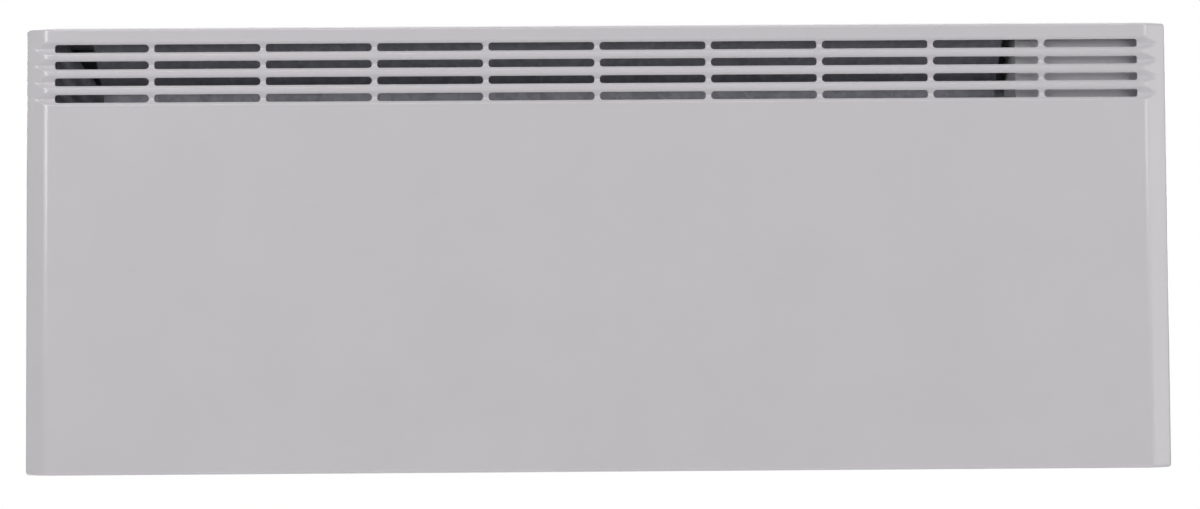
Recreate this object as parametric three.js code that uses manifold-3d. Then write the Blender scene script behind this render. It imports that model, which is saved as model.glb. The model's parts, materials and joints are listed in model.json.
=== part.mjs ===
// A wall panel convector heater: a folded sheet-steel casing with four rows of outlet slots pressed into the
// front, an extruded heating element behind it, a thermostat and a switch in the right-hand side wall, and a
// steel rail on the wall that the casing hangs on. The heater lifts off the rail's hooks; the knob and the
// rocker turn. Millimetres, +Z up, the front faces -Y, and the wall is the plane y = 0.
// The origin is the middle of the rail's back face.

import * as THREE from 'three';
import { mergeVertices } from 'three/addons/utils/BufferGeometryUtils.js';
import Module from 'manifold-3d';

const wasm = await Module();
wasm.setup();

// ---------------------------------------------------------------- driving dimensions, millimetres

const GAP = 0.3; // clearance between pieces that seat on each other

// Casing
const CASING_WIDTH = 1026;
const CASING_HEIGHT = 400;
const CASING_DEPTH = 62; // front face to the back of the rear panel
const WALL_GAP = 24; // air gap between the wall and the rear panel
const RAIL_BELOW_TOP = 95; // the rail's middle below the top of the casing
const PANEL_SHEET = 0.8;
const REAR_SHEET = 0.6;
const REAR_INSET = 0.8; // the rear panel stays this far inside the casing's outline
const FLANK_WIDTH = 19.5; // slanted flank beside the flat front
const FLANK_SETBACK = 7.4; // how far the flank falls back at the side edge
const BROW_RADIUS = 24; // bend between the flat front and the flank
const FOLD_RADIUS = 3; // folds to the top, bottom and sides
const RETURN_LIP = 10; // lip folded inwards behind the walls

// Outlet grille, pressed into the front as grooves with slots at their floors
const GRILLE_ROWS = 4;
const FIRST_ROW_BELOW_TOP = 18.5;
const ROW_PITCH = 15;
const GRILLE_MARGIN = 26.5; // side edge of the casing to the end of the slots
const WEB_PITCH = 100;
const WEB_WIDTH = 4.8;
const SHORTEST_SLOT = 20;
const SLOT_HEIGHT = 7.2;
const SLOT_CORNER = 2.8;
const GROOVE_WIDTH = 11.4;
const GROOVE_FLOOR = 1.4;
const GROOVE_DEPTH = 4;

// Inlet slots in the floor of the casing
const INLET_ROWS = 3;
const INLET_PITCH = 14;
const INLET_WIDTH = 7;
const INLET_FROM_FRONT = 14;
const INLET_CORNER = 2.8;

// Wall rail and its hooks
const RAIL_LENGTH = 560;
const RAIL_HEIGHT = 50;
const RAIL_SHEET = 1.5;
const RAIL_FLANGE = 8;
const RAIL_SCREWS = [0.42, 0.8]; // wall-screw slots, as shares of the way from the middle to a hook's foot
const RAIL_SLOT_LENGTH = 14;
const RAIL_SLOT_WIDTH = 6.5;
const RAIL_SLOT_CORNER = 2.6;
const HOOK_INSET = 24; // end of the rail to the hook
const HOOK_SHEET = 3;
const HOOK_FOOT = 22;
const HOOK_ARM = 8; // height of the arm below its saddle
const HOOK_FINGER = 10; // height of the finger above the saddle
const HOOK_FINGER_SHEET = 2.6;
const HOOK_FOOT_MARGIN = 4.5; // end of the hook's foot to the edge of the rail
const HOOK_ROOT_CORNER = 2;
const HOOK_TIP_CORNER = 1;
const WELD_OVERLAP = 0.5;
const HOOK_PLAY = 0.6; // room for the rear panel on each side of it
const HOOK_SLOT_PLAY = 2;
const SADDLE_Z = 4;
const LIFT_TRAVEL = 12;

// Heat shield, whose upper part leans forward to throw the warm air out of the slots
const SHIELD_SHEET = 0.5;
const SHIELD_STANDOFF = 6; // off the rear panel
const SHIELD_FROM_EDGE = 57; // side edge of the casing to the shield's left end
const SHIELD_FOOT = 12;
const SHIELD_RIVETS = [0.06, 0.35, 0.65, 0.94]; // places along the foot, as shares of its length
const SHIELD_FOOT_HEIGHT = 40; // bottom of the casing to the foot
const SHIELD_BEND_BELOW_TOP = 53;
const SHIELD_HOUSING_GAP = 10;
const DEFLECTOR_CLEARANCE = 3; // behind the grooves
const CHEEK_SPLAY = 31; // how far the cheek leans outwards
const CHEEK_DROP = 110; // top of the casing to the foot of the cheek

// Heating element
const ELEMENT_HEIGHT = 52;
const ELEMENT_AIR = 4.5; // clear air in front of and behind the fins
const ELEMENT_ABOVE_FLOOR = 115;
const ELEMENT_INSET = 40; // ends of the shield to the ends of the fins
const FIN_SHEET = 1.6;
const FINS_PER_ARM = 3;
const OUTER_FIN = 7; // height of the outermost fin
const BOSS_RADIUS = 7;
const ROD_RADIUS = 4;
const ROD_OVERHANG = 22;
const PIN_RADIUS = 2;
const PIN_LENGTH = 12;
const PIN_SEAL_RADIUS = 3.4;
const PIN_SEAL = 2; // length of the seal at the rod's end
const PIN_NUT = [5, 8]; // the nut's span along the pin
const BRACKET_SHEET = 1.2;
const BRACKET_OUT = 10; // end of the fins to the bracket's arm
const BRACKET_FOOT = 16;
const BRACKET_HALF_HEIGHT = 15;
const BRACKET_RIVET_OUT = 9.6; // bracket's arm to its rivets
const BRACKET_RIVET_SPREAD = 9.75; // each rivet off the rod's height
const BRACKET_TIP = 2; // arm past the bush's flange
const BUSH_NECK_RADIUS = 6.2;
const BUSH_FLANGE_RADIUS = 8;
const BUSH_FLANGE = 3;
const BUSH_INNER_REACH = 2; // neck past the bracket on the inner side
const CUTOUT_EAR = 12; // middle of the cut-out to the end of its flange
const CUTOUT_EAR_CORNER = 3.2;
const CUTOUT_RADIUS = 8;
const CUTOUT_THICKNESS = 7;
const CUTOUT_FROM_HOUSING = 78;
const CUTOUT_ABOVE_ELEMENT = 62;
const BLADE_SHEET = 0.8;
const BLADE_WIDTH = 6.3;
const BLADE_LENGTH = 8;

// Control housing behind the right-hand slots, and the fascia in the side wall
const HOUSING_LENGTH = 135; // from the side edge of the casing
const HOUSING_HEIGHT = 132;
const HOUSING_WALL = 2;
const HOUSING_BEHIND_GROOVES = 6;
const HOUSING_CORNER = 4;
const HOUSING_SCREW_IN = 45; // left end of the housing to its screws
const HOUSING_SCREW_FROM_END = 10.8;
const HOUSING_BOSS_RADIUS = 4.6;
const PLATE_THICKNESS = 2.5;
const PLATE_EDGE_ROOM = 0.6;
const PLATE_MARGIN = 3.5; // plate past the opening in the side wall
const OPENING_HEIGHT = 114;
const OPENING_CORNER = 8;
const WELL_RIM = 2.6;
const WELL_HEIGHT = 62;
const WELL_DEPTH = 12;
const WELL_CORNER = 11.5;
const WELL_WALL = 2;
const WELL_ABOVE_MIDDLE = 21;
const KNOB_SIDE_GAP = 6;
const KNOB_HEIGHT = 10.5;
const KNOB_FLOOR_GAP = 0.8;
const KNOB_FLUTES = 18;
const KNOB_FLUTE_DEPTH = 0.7;
const KNOB_POINTER = 1.4;
const KNOB_POINTER_FROM = 0.25; // inner end of the pointer, as a share of the knob's radius
const KNOB_BEVEL = 1.2;
const KNOB_FACE = 3; // thickness in front of the shaft's bore
const FLUTE_POINTS = 4;
const SHAFT_SEAT = 8; // shaft inside the thermostat
const THERMOSTAT_CORNER = 3;
const THERMOSTAT_BLADE_SPREAD = 8; // each blade off the thermostat's axis
const SHAFT_RADIUS = 3;
const THERMOSTAT_SIZE = [26, 30, 34];
const SWITCH_BELOW_MIDDLE = 37;
const SWITCH_SIZE = [17, 14, 21]; // depth behind the flange, width, height
const SWITCH_FLANGE = 1.2;
const SWITCH_FLANGE_MARGIN = 1.5;
const SWITCH_WALL = 1.5;
const SWITCH_BLADE_SPREAD = 5; // each blade off the switch's middle
const POCKET_DEPTH = 5;
const POCKET_MARGIN = 2;
const ROCKER_TILT = 8; // degrees each way from level
const ROCKER_HALF_LENGTH = 8.5;
const ROCKER_RISE = 3; // pivot to the rocker's raised corners
const ROCKER_DIP = 1.4;
const ROCKER_BELLY = 4.6;
const ROCKER_EDGE = 0.6; // thickness at the ends, and the radius of the raised corners
const ROCKER_SHOULDER = 5.1; // half-length where the belly starts
const ROCKER_KEEL = 2.04; // half-length of the belly's flat
const ROCKER_PIN_RADIUS = 1.2;
const PIVOT_BELOW_FACE = 0.6;
const LENS_BELOW_MIDDLE = 16;
const LENS_RADIUS = 2.5;
const LENS_FLANGE = 1; // flange past the barrel
const LENS_FLANGE_DEPTH = 2;
const LENS_TAIL = 5;
const LENS_TIP_RADIUS = 1.75;

// Supply side, on the rear panel
const BLOCK_SIZE = [44, 17, 20];
const BLOCK_STEP = 6; // depth of the step over the poles
const BLOCK_RIDGE = 10; // height of the raised middle
const BLOCK_EDGE = 1;
const BLOCK_POLES = 3;
const BLOCK_WELL_RADIUS = 3;
const BLOCK_WELL_DEPTH = 6;
const BLOCK_FROM_EDGE = 95; // side edge of the casing to the block's middle
const BLOCK_ABOVE_FLOOR = 78;
const GLAND_FROM_EDGE = 58;
const GLAND_ABOVE_FLOOR = 48;
const GLAND_RADIUS = 9;
const GLAND_NECK_RADIUS = 7;
const GLAND_FLANGE = 2;
const GLAND_INNER_LIP = 3;
const GLAND_BORE = 4;
const GLAND_LENGTH = 9;
const EARTH_FROM_BLOCK = 48;
const EARTH_STUD_RADIUS = 2;
const EARTH_STUD_LENGTH = 10; // inside the rear panel
const EARTH_STUD_HEAD = 2.4;
const EARTH_NUT_RADIUS = 4;
const EARTH_NUT = 3.2;
const LEAD_RADIUS = 1.2;
const LEAD_SIDES = 6;
const LEAD_STEPS = 56;
const LEAD_HOLE_RADIUS = 2.2;
const LEAD_ABOVE_FLOOR = 22;
const CLIP_COUNT = 3;
const CLIP_SHEET = 1.2;
const CLIP_WIDTH = 8;
const CLIP_EAR = 6;
const CLIP_HEEL = 1; // short lip on the side that has no ear
const CLIP_BEND = 1;

// Spacers and fasteners
const FOOT_FROM_EDGE = 150;
const FOOT_ABOVE_FLOOR = 30;
const FOOT_BASE_RADIUS = 11;
const FOOT_TIP_RADIUS = 9;
const FOOT_PIN_RADIUS = 2.4;
const FOOT_PAD_RADIUS = 8; // flat that meets the wall
const FOOT_RIM = 2;
const FOOT_BARB = 4;
const HOLE_REACH = 12; // how far forward the fasteners' holes are cut
const SCREW_RADIUS = 1.75;
const SCREW_HEAD_RADIUS = 3.6;
const SCREW_HEAD = 2.2;
const SCREW_LENGTH = 7;
const SCREW_ABOVE_FLOOR = 62;
const SCREW_BELOW_HOUSING = 20;
const RIVET_RADIUS = 1.6;
const RIVET_HEAD_RADIUS = 3.1;
const RIVET_HEAD = 1.1;

// Facets
const ARC_STEPS = 4;
const SLOT_ARC_STEPS = 2;
const ROUND_SIDES = 16;
const SCREW_SIDES = 8;
const HEX_SIDES = 6;

// ---------------------------------------------------------------- places worked out from the dimensions

const HALF_WIDTH = CASING_WIDTH / 2;
const TOP_Z = RAIL_BELOW_TOP;
const BOTTOM_Z = TOP_Z - CASING_HEIGHT;
const FRONT_Y = -(WALL_GAP + CASING_DEPTH);
const REAR_OUTER_Y = -WALL_GAP;
const REAR_INNER_Y = REAR_OUTER_Y - REAR_SHEET;
const LIP_BACK_Y = REAR_INNER_Y - GAP;
const LIP_FRONT_Y = LIP_BACK_Y - PANEL_SHEET;
const GROOVE_BACK_Y = FRONT_Y + GROOVE_DEPTH + PANEL_SHEET;

const SHIELD_REAR_Y = REAR_INNER_Y - GAP - SHIELD_STANDOFF;
const SHIELD_FRONT_Y = SHIELD_REAR_Y - SHIELD_SHEET;
const SHIELD_FOOT_Z = BOTTOM_Z + SHIELD_FOOT_HEIGHT;
const SHIELD_BEND_Z = TOP_Z - SHIELD_BEND_BELOW_TOP;
const SHIELD_TOP_Z = TOP_Z - PANEL_SHEET - GAP;
const SHIELD_TOP_Y = GROOVE_BACK_Y + DEFLECTOR_CLEARANCE;

const HOUSING_LEFT = HALF_WIDTH - HOUSING_LENGTH;
const HOUSING_TOP_Z = TOP_Z - PANEL_SHEET - RETURN_LIP - GAP;
const HOUSING_BOTTOM_Z = HOUSING_TOP_Z - HOUSING_HEIGHT;
const HOUSING_FRONT_Y = GROOVE_BACK_Y + HOUSING_BEHIND_GROOVES;
const HOUSING_BACK_Y = LIP_FRONT_Y - GAP;
const CONTROL_Z = (HOUSING_TOP_Z + HOUSING_BOTTOM_Z) / 2;

const SHIELD_LEFT = -(HALF_WIDTH - SHIELD_FROM_EDGE);
const SHIELD_RIGHT = HOUSING_LEFT - SHIELD_HOUSING_GAP;
const ELEMENT_LEFT = SHIELD_LEFT + ELEMENT_INSET;
const ELEMENT_RIGHT = SHIELD_RIGHT - ELEMENT_INSET;
const ELEMENT_Y = (SHIELD_FRONT_Y + GROOVE_BACK_Y) / 2;
const ELEMENT_Z = BOTTOM_Z + ELEMENT_ABOVE_FLOOR;
const ELEMENT_DEPTH = SHIELD_FRONT_Y - GROOVE_BACK_Y - 2 * ELEMENT_AIR;

const WALL_INNER_X = HALF_WIDTH - PANEL_SHEET;
const PLATE_FRONT_X = WALL_INNER_X - GAP;
const PLATE_BACK_X = PLATE_FRONT_X - PLATE_THICKNESS;
const FASCIA_FACE_X = HALF_WIDTH - GAP;
const SIDE_FLAT_FRONT_Y = FRONT_Y + FLANK_SETBACK + FOLD_RADIUS;
const CONTROL_Y = (SIDE_FLAT_FRONT_Y + LIP_FRONT_Y) / 2;
const PLATE_WIDTH = LIP_FRONT_Y - SIDE_FLAT_FRONT_Y - 2 * PLATE_EDGE_ROOM;
const OPENING_WIDTH = PLATE_WIDTH - 2 * PLATE_MARGIN;
const WELL_WIDTH = OPENING_WIDTH - 2 * (GAP + WELL_RIM);
const WELL_FLOOR_X = FASCIA_FACE_X - WELL_DEPTH;
const WELL_BACK_X = WELL_FLOOR_X - WELL_WALL;
const KNOB_Z = CONTROL_Z + WELL_ABOVE_MIDDLE;
const KNOB_RADIUS = WELL_WIDTH / 2 - KNOB_SIDE_GAP;
const KNOB_BACK_X = WELL_FLOOR_X + KNOB_FLOOR_GAP;
const SWITCH_Z = CONTROL_Z - SWITCH_BELOW_MIDDLE;
const POCKET_FLOOR_X = FASCIA_FACE_X - POCKET_DEPTH;
const SWITCH_FACE_X = POCKET_FLOOR_X + GAP + SWITCH_FLANGE;
const PIVOT_X = SWITCH_FACE_X - PIVOT_BELOW_FACE;
const LENS_Z = CONTROL_Z - LENS_BELOW_MIDDLE;
const THERMOSTAT_RIGHT_X = WELL_BACK_X - GAP;
const THERMOSTAT_LEFT_X = THERMOSTAT_RIGHT_X - THERMOSTAT_SIZE[0];

const HOOK_X = RAIL_LENGTH / 2 - HOOK_INSET;
const CUTOUT_X = HOUSING_LEFT - CUTOUT_FROM_HOUSING;
const CUTOUT_Z = ELEMENT_Z + CUTOUT_ABOVE_ELEMENT;
const BLOCK_X = HALF_WIDTH - BLOCK_FROM_EDGE;
const BLOCK_Z = BOTTOM_Z + BLOCK_ABOVE_FLOOR;
const GLAND_X = HALF_WIDTH - GLAND_FROM_EDGE;
const GLAND_Z = BOTTOM_Z + GLAND_ABOVE_FLOOR;
const EARTH_X = BLOCK_X - BLOCK_SIZE[0] / 2 - EARTH_FROM_BLOCK / 2;
const EARTH_Z = BLOCK_Z;
const LEAD_Y = REAR_INNER_Y - GAP - LEAD_RADIUS;
const LEAD_Z = BOTTOM_Z + LEAD_ABOVE_FLOOR;
const FOOT_X = HALF_WIDTH - FOOT_FROM_EDGE;
const FOOT_Z = BOTTOM_Z + FOOT_ABOVE_FLOOR;

const ROW_ZS = Array.from({ length: GRILLE_ROWS }, (_, row) => TOP_Z - FIRST_ROW_BELOW_TOP - row * ROW_PITCH);
const SIDES = { left: -1, right: 1 };

// ---------------------------------------------------------------- outlines

/** Closed outline through corners [u, v, radius]; a corner with a radius becomes an arc. */
function outline(corners, steps = ARC_STEPS) {
  const points = [];
  corners.forEach(([u, v, radius = 0], i) => {
    const corner = new THREE.Vector2(u, v);
    if (radius <= 0) {
      points.push(corner);
      return;
    }
    const before = new THREE.Vector2(...corners.at(i - 1)).sub(corner).normalize();
    const after = new THREE.Vector2(...corners[(i + 1) % corners.length]).sub(corner).normalize();
    const half = before.angleTo(after) / 2;
    const centre = before.clone().add(after).setLength(radius / Math.sin(half)).add(corner);
    const reach = radius / Math.tan(half);
    const start = before.clone().multiplyScalar(reach).add(corner).sub(centre).angle();
    const end = after.clone().multiplyScalar(reach).add(corner).sub(centre).angle();
    const turn = THREE.MathUtils.euclideanModulo(end - start + Math.PI, 2 * Math.PI) - Math.PI;
    for (let k = 0; k <= steps; k += 1) {
      const angle = start + (turn * k) / steps;
      points.push(new THREE.Vector2(Math.cos(angle), Math.sin(angle)).multiplyScalar(radius).add(centre));
    }
  });
  return new THREE.Shape(points);
}

function rectangle(u, v, width, height, radius = 0, steps = ARC_STEPS) {
  const [du, dv] = [width / 2, height / 2];
  const corners = [[u - du, v - dv], [u + du, v - dv], [u + du, v + dv], [u - du, v + dv]];
  return outline(corners.map((corner) => [...corner, radius]), steps);
}

/** Outline of a sheet bent along an open path; its thickness grows to the left of the path. */
function bentSheet(path, thickness, bend = 0) {
  const points = path.map(([u, v]) => new THREE.Vector2(u, v));
  const normals = points.slice(1).map((point, i) => {
    const along = point.clone().sub(points[i]).normalize();
    return new THREE.Vector2(-along.y, along.x);
  });
  const near = [];
  const far = [];
  points.forEach((point, i) => {
    const first = normals[Math.max(i - 1, 0)];
    const second = normals[Math.min(i, normals.length - 1)];
    const mitre = first.clone().add(second).multiplyScalar(thickness / (1 + first.dot(second)));
    const inner = i > 0 && i < points.length - 1 ? bend : 0;
    const outer = inner > 0 ? bend + thickness : 0;
    const turnsLeft = first.cross(second) > 0;
    near.push([point.x, point.y, turnsLeft ? outer : inner]);
    far.push([point.x + mitre.x, point.y + mitre.y, turnsLeft ? inner : outer]);
  });
  return outline([...near, ...far.reverse()]);
}

// ---------------------------------------------------------------- solids

/** A closed geometry as a solid that can be joined and cut, with its faces turned outwards. */
function solid(geometry) {
  const bare = new THREE.BufferGeometry();
  bare.setAttribute('position', geometry.getAttribute('position').clone());
  if (geometry.index) bare.setIndex(geometry.index.clone());
  const merged = mergeVertices(bare, 1e-4);
  const position = merged.getAttribute('position');
  const index = Array.from(merged.index.array);
  const corners = [0, 1, 2].map(() => new THREE.Vector3());
  const triangles = [];
  let volume = 0;
  for (let i = 0; i < index.length; i += 3) {
    const [a, b, c] = index.slice(i, i + 3);
    if (a !== b && b !== c && c !== a) {
      triangles.push([a, b, c]);
      [a, b, c].forEach((vertex, k) => corners[k].fromBufferAttribute(position, vertex));
      volume += corners[0].dot(corners[1].cross(corners[2]));
    }
  }
  const outward = volume < 0 ? triangles.map(([a, b, c]) => [a, c, b]) : triangles;
  const mesh = new wasm.Mesh({
    numProp: 3,
    vertProperties: new Float32Array(position.array),
    triVerts: new Uint32Array(outward.flat()),
  });
  return new wasm.Manifold(mesh);
}

const PULL_ALONG = {
  x: new THREE.Matrix4().set(0, 0, 1, 0, 1, 0, 0, 0, 0, 1, 0, 0, 0, 0, 0, 1),
  y: new THREE.Matrix4().set(1, 0, 0, 0, 0, 0, -1, 0, 0, 1, 0, 0, 0, 0, 0, 1),
  z: new THREE.Matrix4(),
};

/** Pulls an outline along an axis: drawn in (y, z) for x, in (x, z) for y and in (x, y) for z. */
function pull(shape, axis, from, to) {
  const geometry = new THREE.ExtrudeGeometry(shape, { depth: to - from, bevelEnabled: false });
  geometry.applyMatrix4(PULL_ALONG[axis]);
  const start = axis === 'y' ? to : from;
  geometry.translate(axis === 'x' ? start : 0, axis === 'y' ? start : 0, axis === 'z' ? start : 0);
  return solid(geometry);
}

function block([x0, x1], [y0, y1], [z0, z1]) {
  const geometry = new THREE.BoxGeometry(x1 - x0, y1 - y0, z1 - z0);
  geometry.translate((x0 + x1) / 2, (y0 + y1) / 2, (z0 + z1) / 2);
  return solid(geometry);
}

/** Turns a profile of [radius, place along the axis] round an axis through the centre [x, y, z]. */
function turned(profile, axis, centre, sides = ROUND_SIDES) {
  const points = profile.map(([radius, along]) => new THREE.Vector2(radius, along));
  const geometry = new THREE.LatheGeometry(points, sides);
  if (axis === 'x') geometry.rotateZ(-Math.PI / 2);
  if (axis === 'z') geometry.rotateX(Math.PI / 2);
  geometry.translate(...centre);
  return solid(geometry);
}

function rod(radius, axis, from, to, centre, sides = ROUND_SIDES) {
  return turned([[0, from], [radius, from], [radius, to], [0, to]], axis, centre, sides);
}

/** A ring of a [radius, place] profile that closes on itself. */
function ring(profile, axis, centre, sides = ROUND_SIDES) {
  return turned([...profile, profile[0]], axis, centre, sides);
}

const join = (pieces) => pieces.reduce((whole, piece) => whole.add(piece));
const cut = (whole, tools) => tools.reduce((rest, tool) => rest.subtract(tool), whole);

// ---------------------------------------------------------------- finishes

const finish = (color, roughness, metalness = 0) => (
  new THREE.MeshStandardMaterial({ color, roughness, metalness })
);
const PAINTED_STEEL = finish(0xdcdadd, 0.42, 0);
const GALVANISED = finish(0x8f9296, 0.5, 0.9);
const DARK_GALVANISED = finish(0x6d7076, 0.55, 0.85);
const ALUMINIUM = finish(0xb9bbbd, 0.45, 1);
const BLACKENED_STEEL = finish(0x3a3a3c, 0.5, 0.8);
const ZINC_PLATED = finish(0xb4b6ba, 0.35, 1);
const BRASS = finish(0xb6954a, 0.35, 1);
const CERAMIC = finish(0xe9e2d2, 0.6);
const LIGHT_PLASTIC = finish(0xe4e3e6, 0.45);
const GREY_PLASTIC = finish(0x5a5b5f, 0.5);
const DARK_PLASTIC = finish(0x252629, 0.45);
const LENS_AMBER = finish(0xd9772a, 0.2);
const BROWN_INSULATION = finish(0x6b3f22, 0.5);
const BLUE_INSULATION = finish(0x2a55a0, 0.5);
const EARTH_INSULATION = finish(0x5f9a2c, 0.5);

const heater = new THREE.Group();

/** Adds a solid to the heater as a named piece. */
function addPiece(name, material, body) {
  const mesh = body.getMesh();
  const geometry = new THREE.BufferGeometry();
  geometry.setAttribute('position', new THREE.BufferAttribute(mesh.vertProperties, 3));
  geometry.setIndex(new THREE.BufferAttribute(mesh.triVerts, 1));
  geometry.computeVertexNormals();
  const piece = new THREE.Mesh(geometry, material);
  piece.name = name;
  heater.add(piece);
}

// ---------------------------------------------------------------- casing

/** The casing as a full body, drawn in by an inset from its outer faces. */
function casingBody(inset, backY) {
  const slope = FLANK_SETBACK / FLANK_WIDTH;
  const side = HALF_WIDTH - inset;
  const front = FRONT_Y + inset;
  const brow = HALF_WIDTH - FLANK_WIDTH - inset * Math.tan(Math.atan(slope) / 2);
  const edge = FRONT_Y + (FLANK_WIDTH - inset) * slope + inset * Math.hypot(1, slope);
  const brows = [[-brow, front, BROW_RADIUS - inset], [brow, front, BROW_RADIUS - inset]];
  const fold = FOLD_RADIUS - inset;
  const plan = [[-side, backY], [-side, edge, fold], ...brows, [side, edge, fold], [side, backY]];
  const [low, high] = [BOTTOM_Z + inset, TOP_Z - inset];
  const profile = [[backY, low], [front, low, fold], [front, high, fold], [backY, high]];
  const face = rectangle(0, (low + high) / 2, 2 * side, high - low, fold);
  return pull(outline(plan), 'z', low, high)
    .intersect(pull(outline(profile), 'x', -side, side))
    .intersect(pull(face, 'y', front, backY));
}

/** One groove as a bar along the front, grown by an offset from its own faces. */
function groove(z, grow) {
  const steep = Math.atan2(GROOVE_DEPTH, (GROOVE_WIDTH - GROOVE_FLOOR) / 2);
  const floorY = FRONT_Y + GROOVE_DEPTH + grow;
  const halfFloor = GROOVE_FLOOR / 2 + grow * Math.tan(steep / 2);
  const mouthY = FRONT_Y - PANEL_SHEET;
  const halfMouth = halfFloor + (floorY - mouthY) / Math.tan(steep);
  const corners = [
    [mouthY, z - halfMouth], [floorY, z - halfFloor], [floorY, z + halfFloor], [mouthY, z + halfMouth],
  ];
  return pull(outline(corners), 'x', -HALF_WIDTH - 1, HALF_WIDTH + 1);
}

/** The slots of one row, as [middle, length] along x; webs part them at an even pitch. */
function slotSpans() {
  const end = HALF_WIDTH - GRILLE_MARGIN;
  const webs = Math.floor((end - SHORTEST_SLOT) / WEB_PITCH);
  const edges = [-end - WEB_WIDTH / 2];
  for (let web = -webs; web <= webs; web += 1) edges.push(web * WEB_PITCH);
  edges.push(end + WEB_WIDTH / 2);
  return edges.slice(1).map((edge, i) => [(edge + edges[i]) / 2, edge - edges[i] - WEB_WIDTH]);
}

function outletSlots() {
  return ROW_ZS.flatMap((z) => slotSpans().map(([x, length]) => {
    const slot = rectangle(x, z, length, SLOT_HEIGHT, SLOT_CORNER, SLOT_ARC_STEPS);
    return pull(slot, 'y', FRONT_Y - 1, GROOVE_BACK_Y + 1);
  }));
}

function inletSlots() {
  const rows = Array.from({ length: INLET_ROWS }, (_, row) => FRONT_Y + INLET_FROM_FRONT + row * INLET_PITCH);
  return rows.flatMap((y) => slotSpans().map(([x, length]) => {
    const slot = rectangle(x, y, length - INLET_WIDTH, INLET_WIDTH, INLET_CORNER, 1);
    return pull(slot, 'z', BOTTOM_Z - 1, BOTTOM_Z + PANEL_SHEET + 1);
  }));
}

/** Places of the screws that hold the rear panel to the casing's return lips. */
function casingScrewPlaces() {
  const lip = PANEL_SHEET + RETURN_LIP / 2;
  const places = [];
  for (const side of Object.values(SIDES)) {
    for (const z of [HOUSING_BOTTOM_Z - SCREW_BELOW_HOUSING, BOTTOM_Z + SCREW_ABOVE_FLOOR]) {
      places.push([side * (HALF_WIDTH - lip), z]);
    }
    places.push([side * (HALF_WIDTH / 2), TOP_Z - lip]);
    places.push([side * (HALF_WIDTH / 2), BOTTOM_Z + lip]);
  }
  return places;
}

/** A hole from behind through the rear panel and what lies close in front of it. */
function holeY(radius, [x, z], sides = SCREW_SIDES) {
  return rod(radius, 'y', REAR_OUTER_Y - HOLE_REACH, 0, [x, 0, z], sides);
}

function frontPanel() {
  const cavity = cut(casingBody(PANEL_SHEET, LIP_FRONT_Y), ROW_ZS.map((z) => groove(z, PANEL_SHEET)));
  const border = 2 * (PANEL_SHEET + RETURN_LIP);
  const window = rectangle(
    0, (TOP_Z + BOTTOM_Z) / 2, CASING_WIDTH - border, CASING_HEIGHT - border, FOLD_RADIUS,
  );
  const fasciaOpening = rectangle(CONTROL_Y, CONTROL_Z, OPENING_WIDTH, OPENING_HEIGHT, OPENING_CORNER);
  return cut(casingBody(0, LIP_BACK_Y), [
    cavity,
    ...ROW_ZS.map((z) => groove(z, 0)),
    pull(window, 'y', LIP_FRONT_Y - 1, LIP_BACK_Y + 1),
    ...outletSlots(),
    ...inletSlots(),
    pull(fasciaOpening, 'x', WALL_INNER_X - 1, HALF_WIDTH + 1),
    ...casingScrewPlaces().map((place) => holeY(SCREW_RADIUS + GAP, place)),
  ]);
}

const hookSlot = (side) => block(
  [side * HOOK_X - HOOK_SHEET / 2 - HOOK_SLOT_PLAY, side * HOOK_X + HOOK_SHEET / 2 + HOOK_SLOT_PLAY],
  [REAR_INNER_Y - 1, REAR_OUTER_Y + 1],
  [SADDLE_Z - HOOK_ARM - LIFT_TRAVEL - HOOK_SLOT_PLAY, SADDLE_Z + GAP],
);

const housingScrewPlaces = () => [-1, 1].map((end) => [
  HOUSING_LEFT + HOUSING_SCREW_IN,
  CONTROL_Z + end * (HOUSING_HEIGHT / 2 - HOUSING_SCREW_FROM_END),
]);

const shieldRivetPlaces = () => SHIELD_RIVETS.map((share) => [
  THREE.MathUtils.lerp(SHIELD_LEFT, SHIELD_RIGHT, share),
  SHIELD_FOOT_Z + SHIELD_FOOT / 2,
]);

function rearPanel() {
  const width = CASING_WIDTH - 2 * REAR_INSET;
  const height = CASING_HEIGHT - 2 * REAR_INSET;
  const face = rectangle(0, (TOP_Z + BOTTOM_Z) / 2, width, height, FOLD_RADIUS);
  const sheet = pull(face, 'y', REAR_INNER_Y, REAR_OUTER_Y);
  const screws = [...casingScrewPlaces(), ...housingScrewPlaces()];
  return cut(sheet, [
    ...Object.values(SIDES).map(hookSlot),
    ...screws.map((place) => holeY(SCREW_RADIUS + GAP, place)),
    ...shieldRivetPlaces().map((place) => holeY(RIVET_RADIUS + GAP, place)),
    ...Object.values(SIDES).map((side) => holeY(FOOT_PIN_RADIUS + GAP, [side * FOOT_X, FOOT_Z], ROUND_SIDES)),
    holeY(GLAND_NECK_RADIUS + GAP, [GLAND_X, GLAND_Z], ROUND_SIDES),
    holeY(EARTH_STUD_RADIUS + GAP, [EARTH_X, EARTH_Z]),
  ]);
}

/** A screw driven forwards from behind: a domed head, a shank and a point. */
function screw([x, z], headY = REAR_OUTER_Y + GAP) {
  const profile = [
    [0, -SCREW_LENGTH], [SCREW_RADIUS, -SCREW_LENGTH + SCREW_RADIUS], [SCREW_RADIUS, 0],
    [SCREW_HEAD_RADIUS, 0], [SCREW_HEAD_RADIUS, SCREW_HEAD / 2],
    [SCREW_HEAD_RADIUS / 2, SCREW_HEAD], [0, SCREW_HEAD],
  ];
  return turned(profile, 'y', [x, headY, z], SCREW_SIDES);
}

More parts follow.
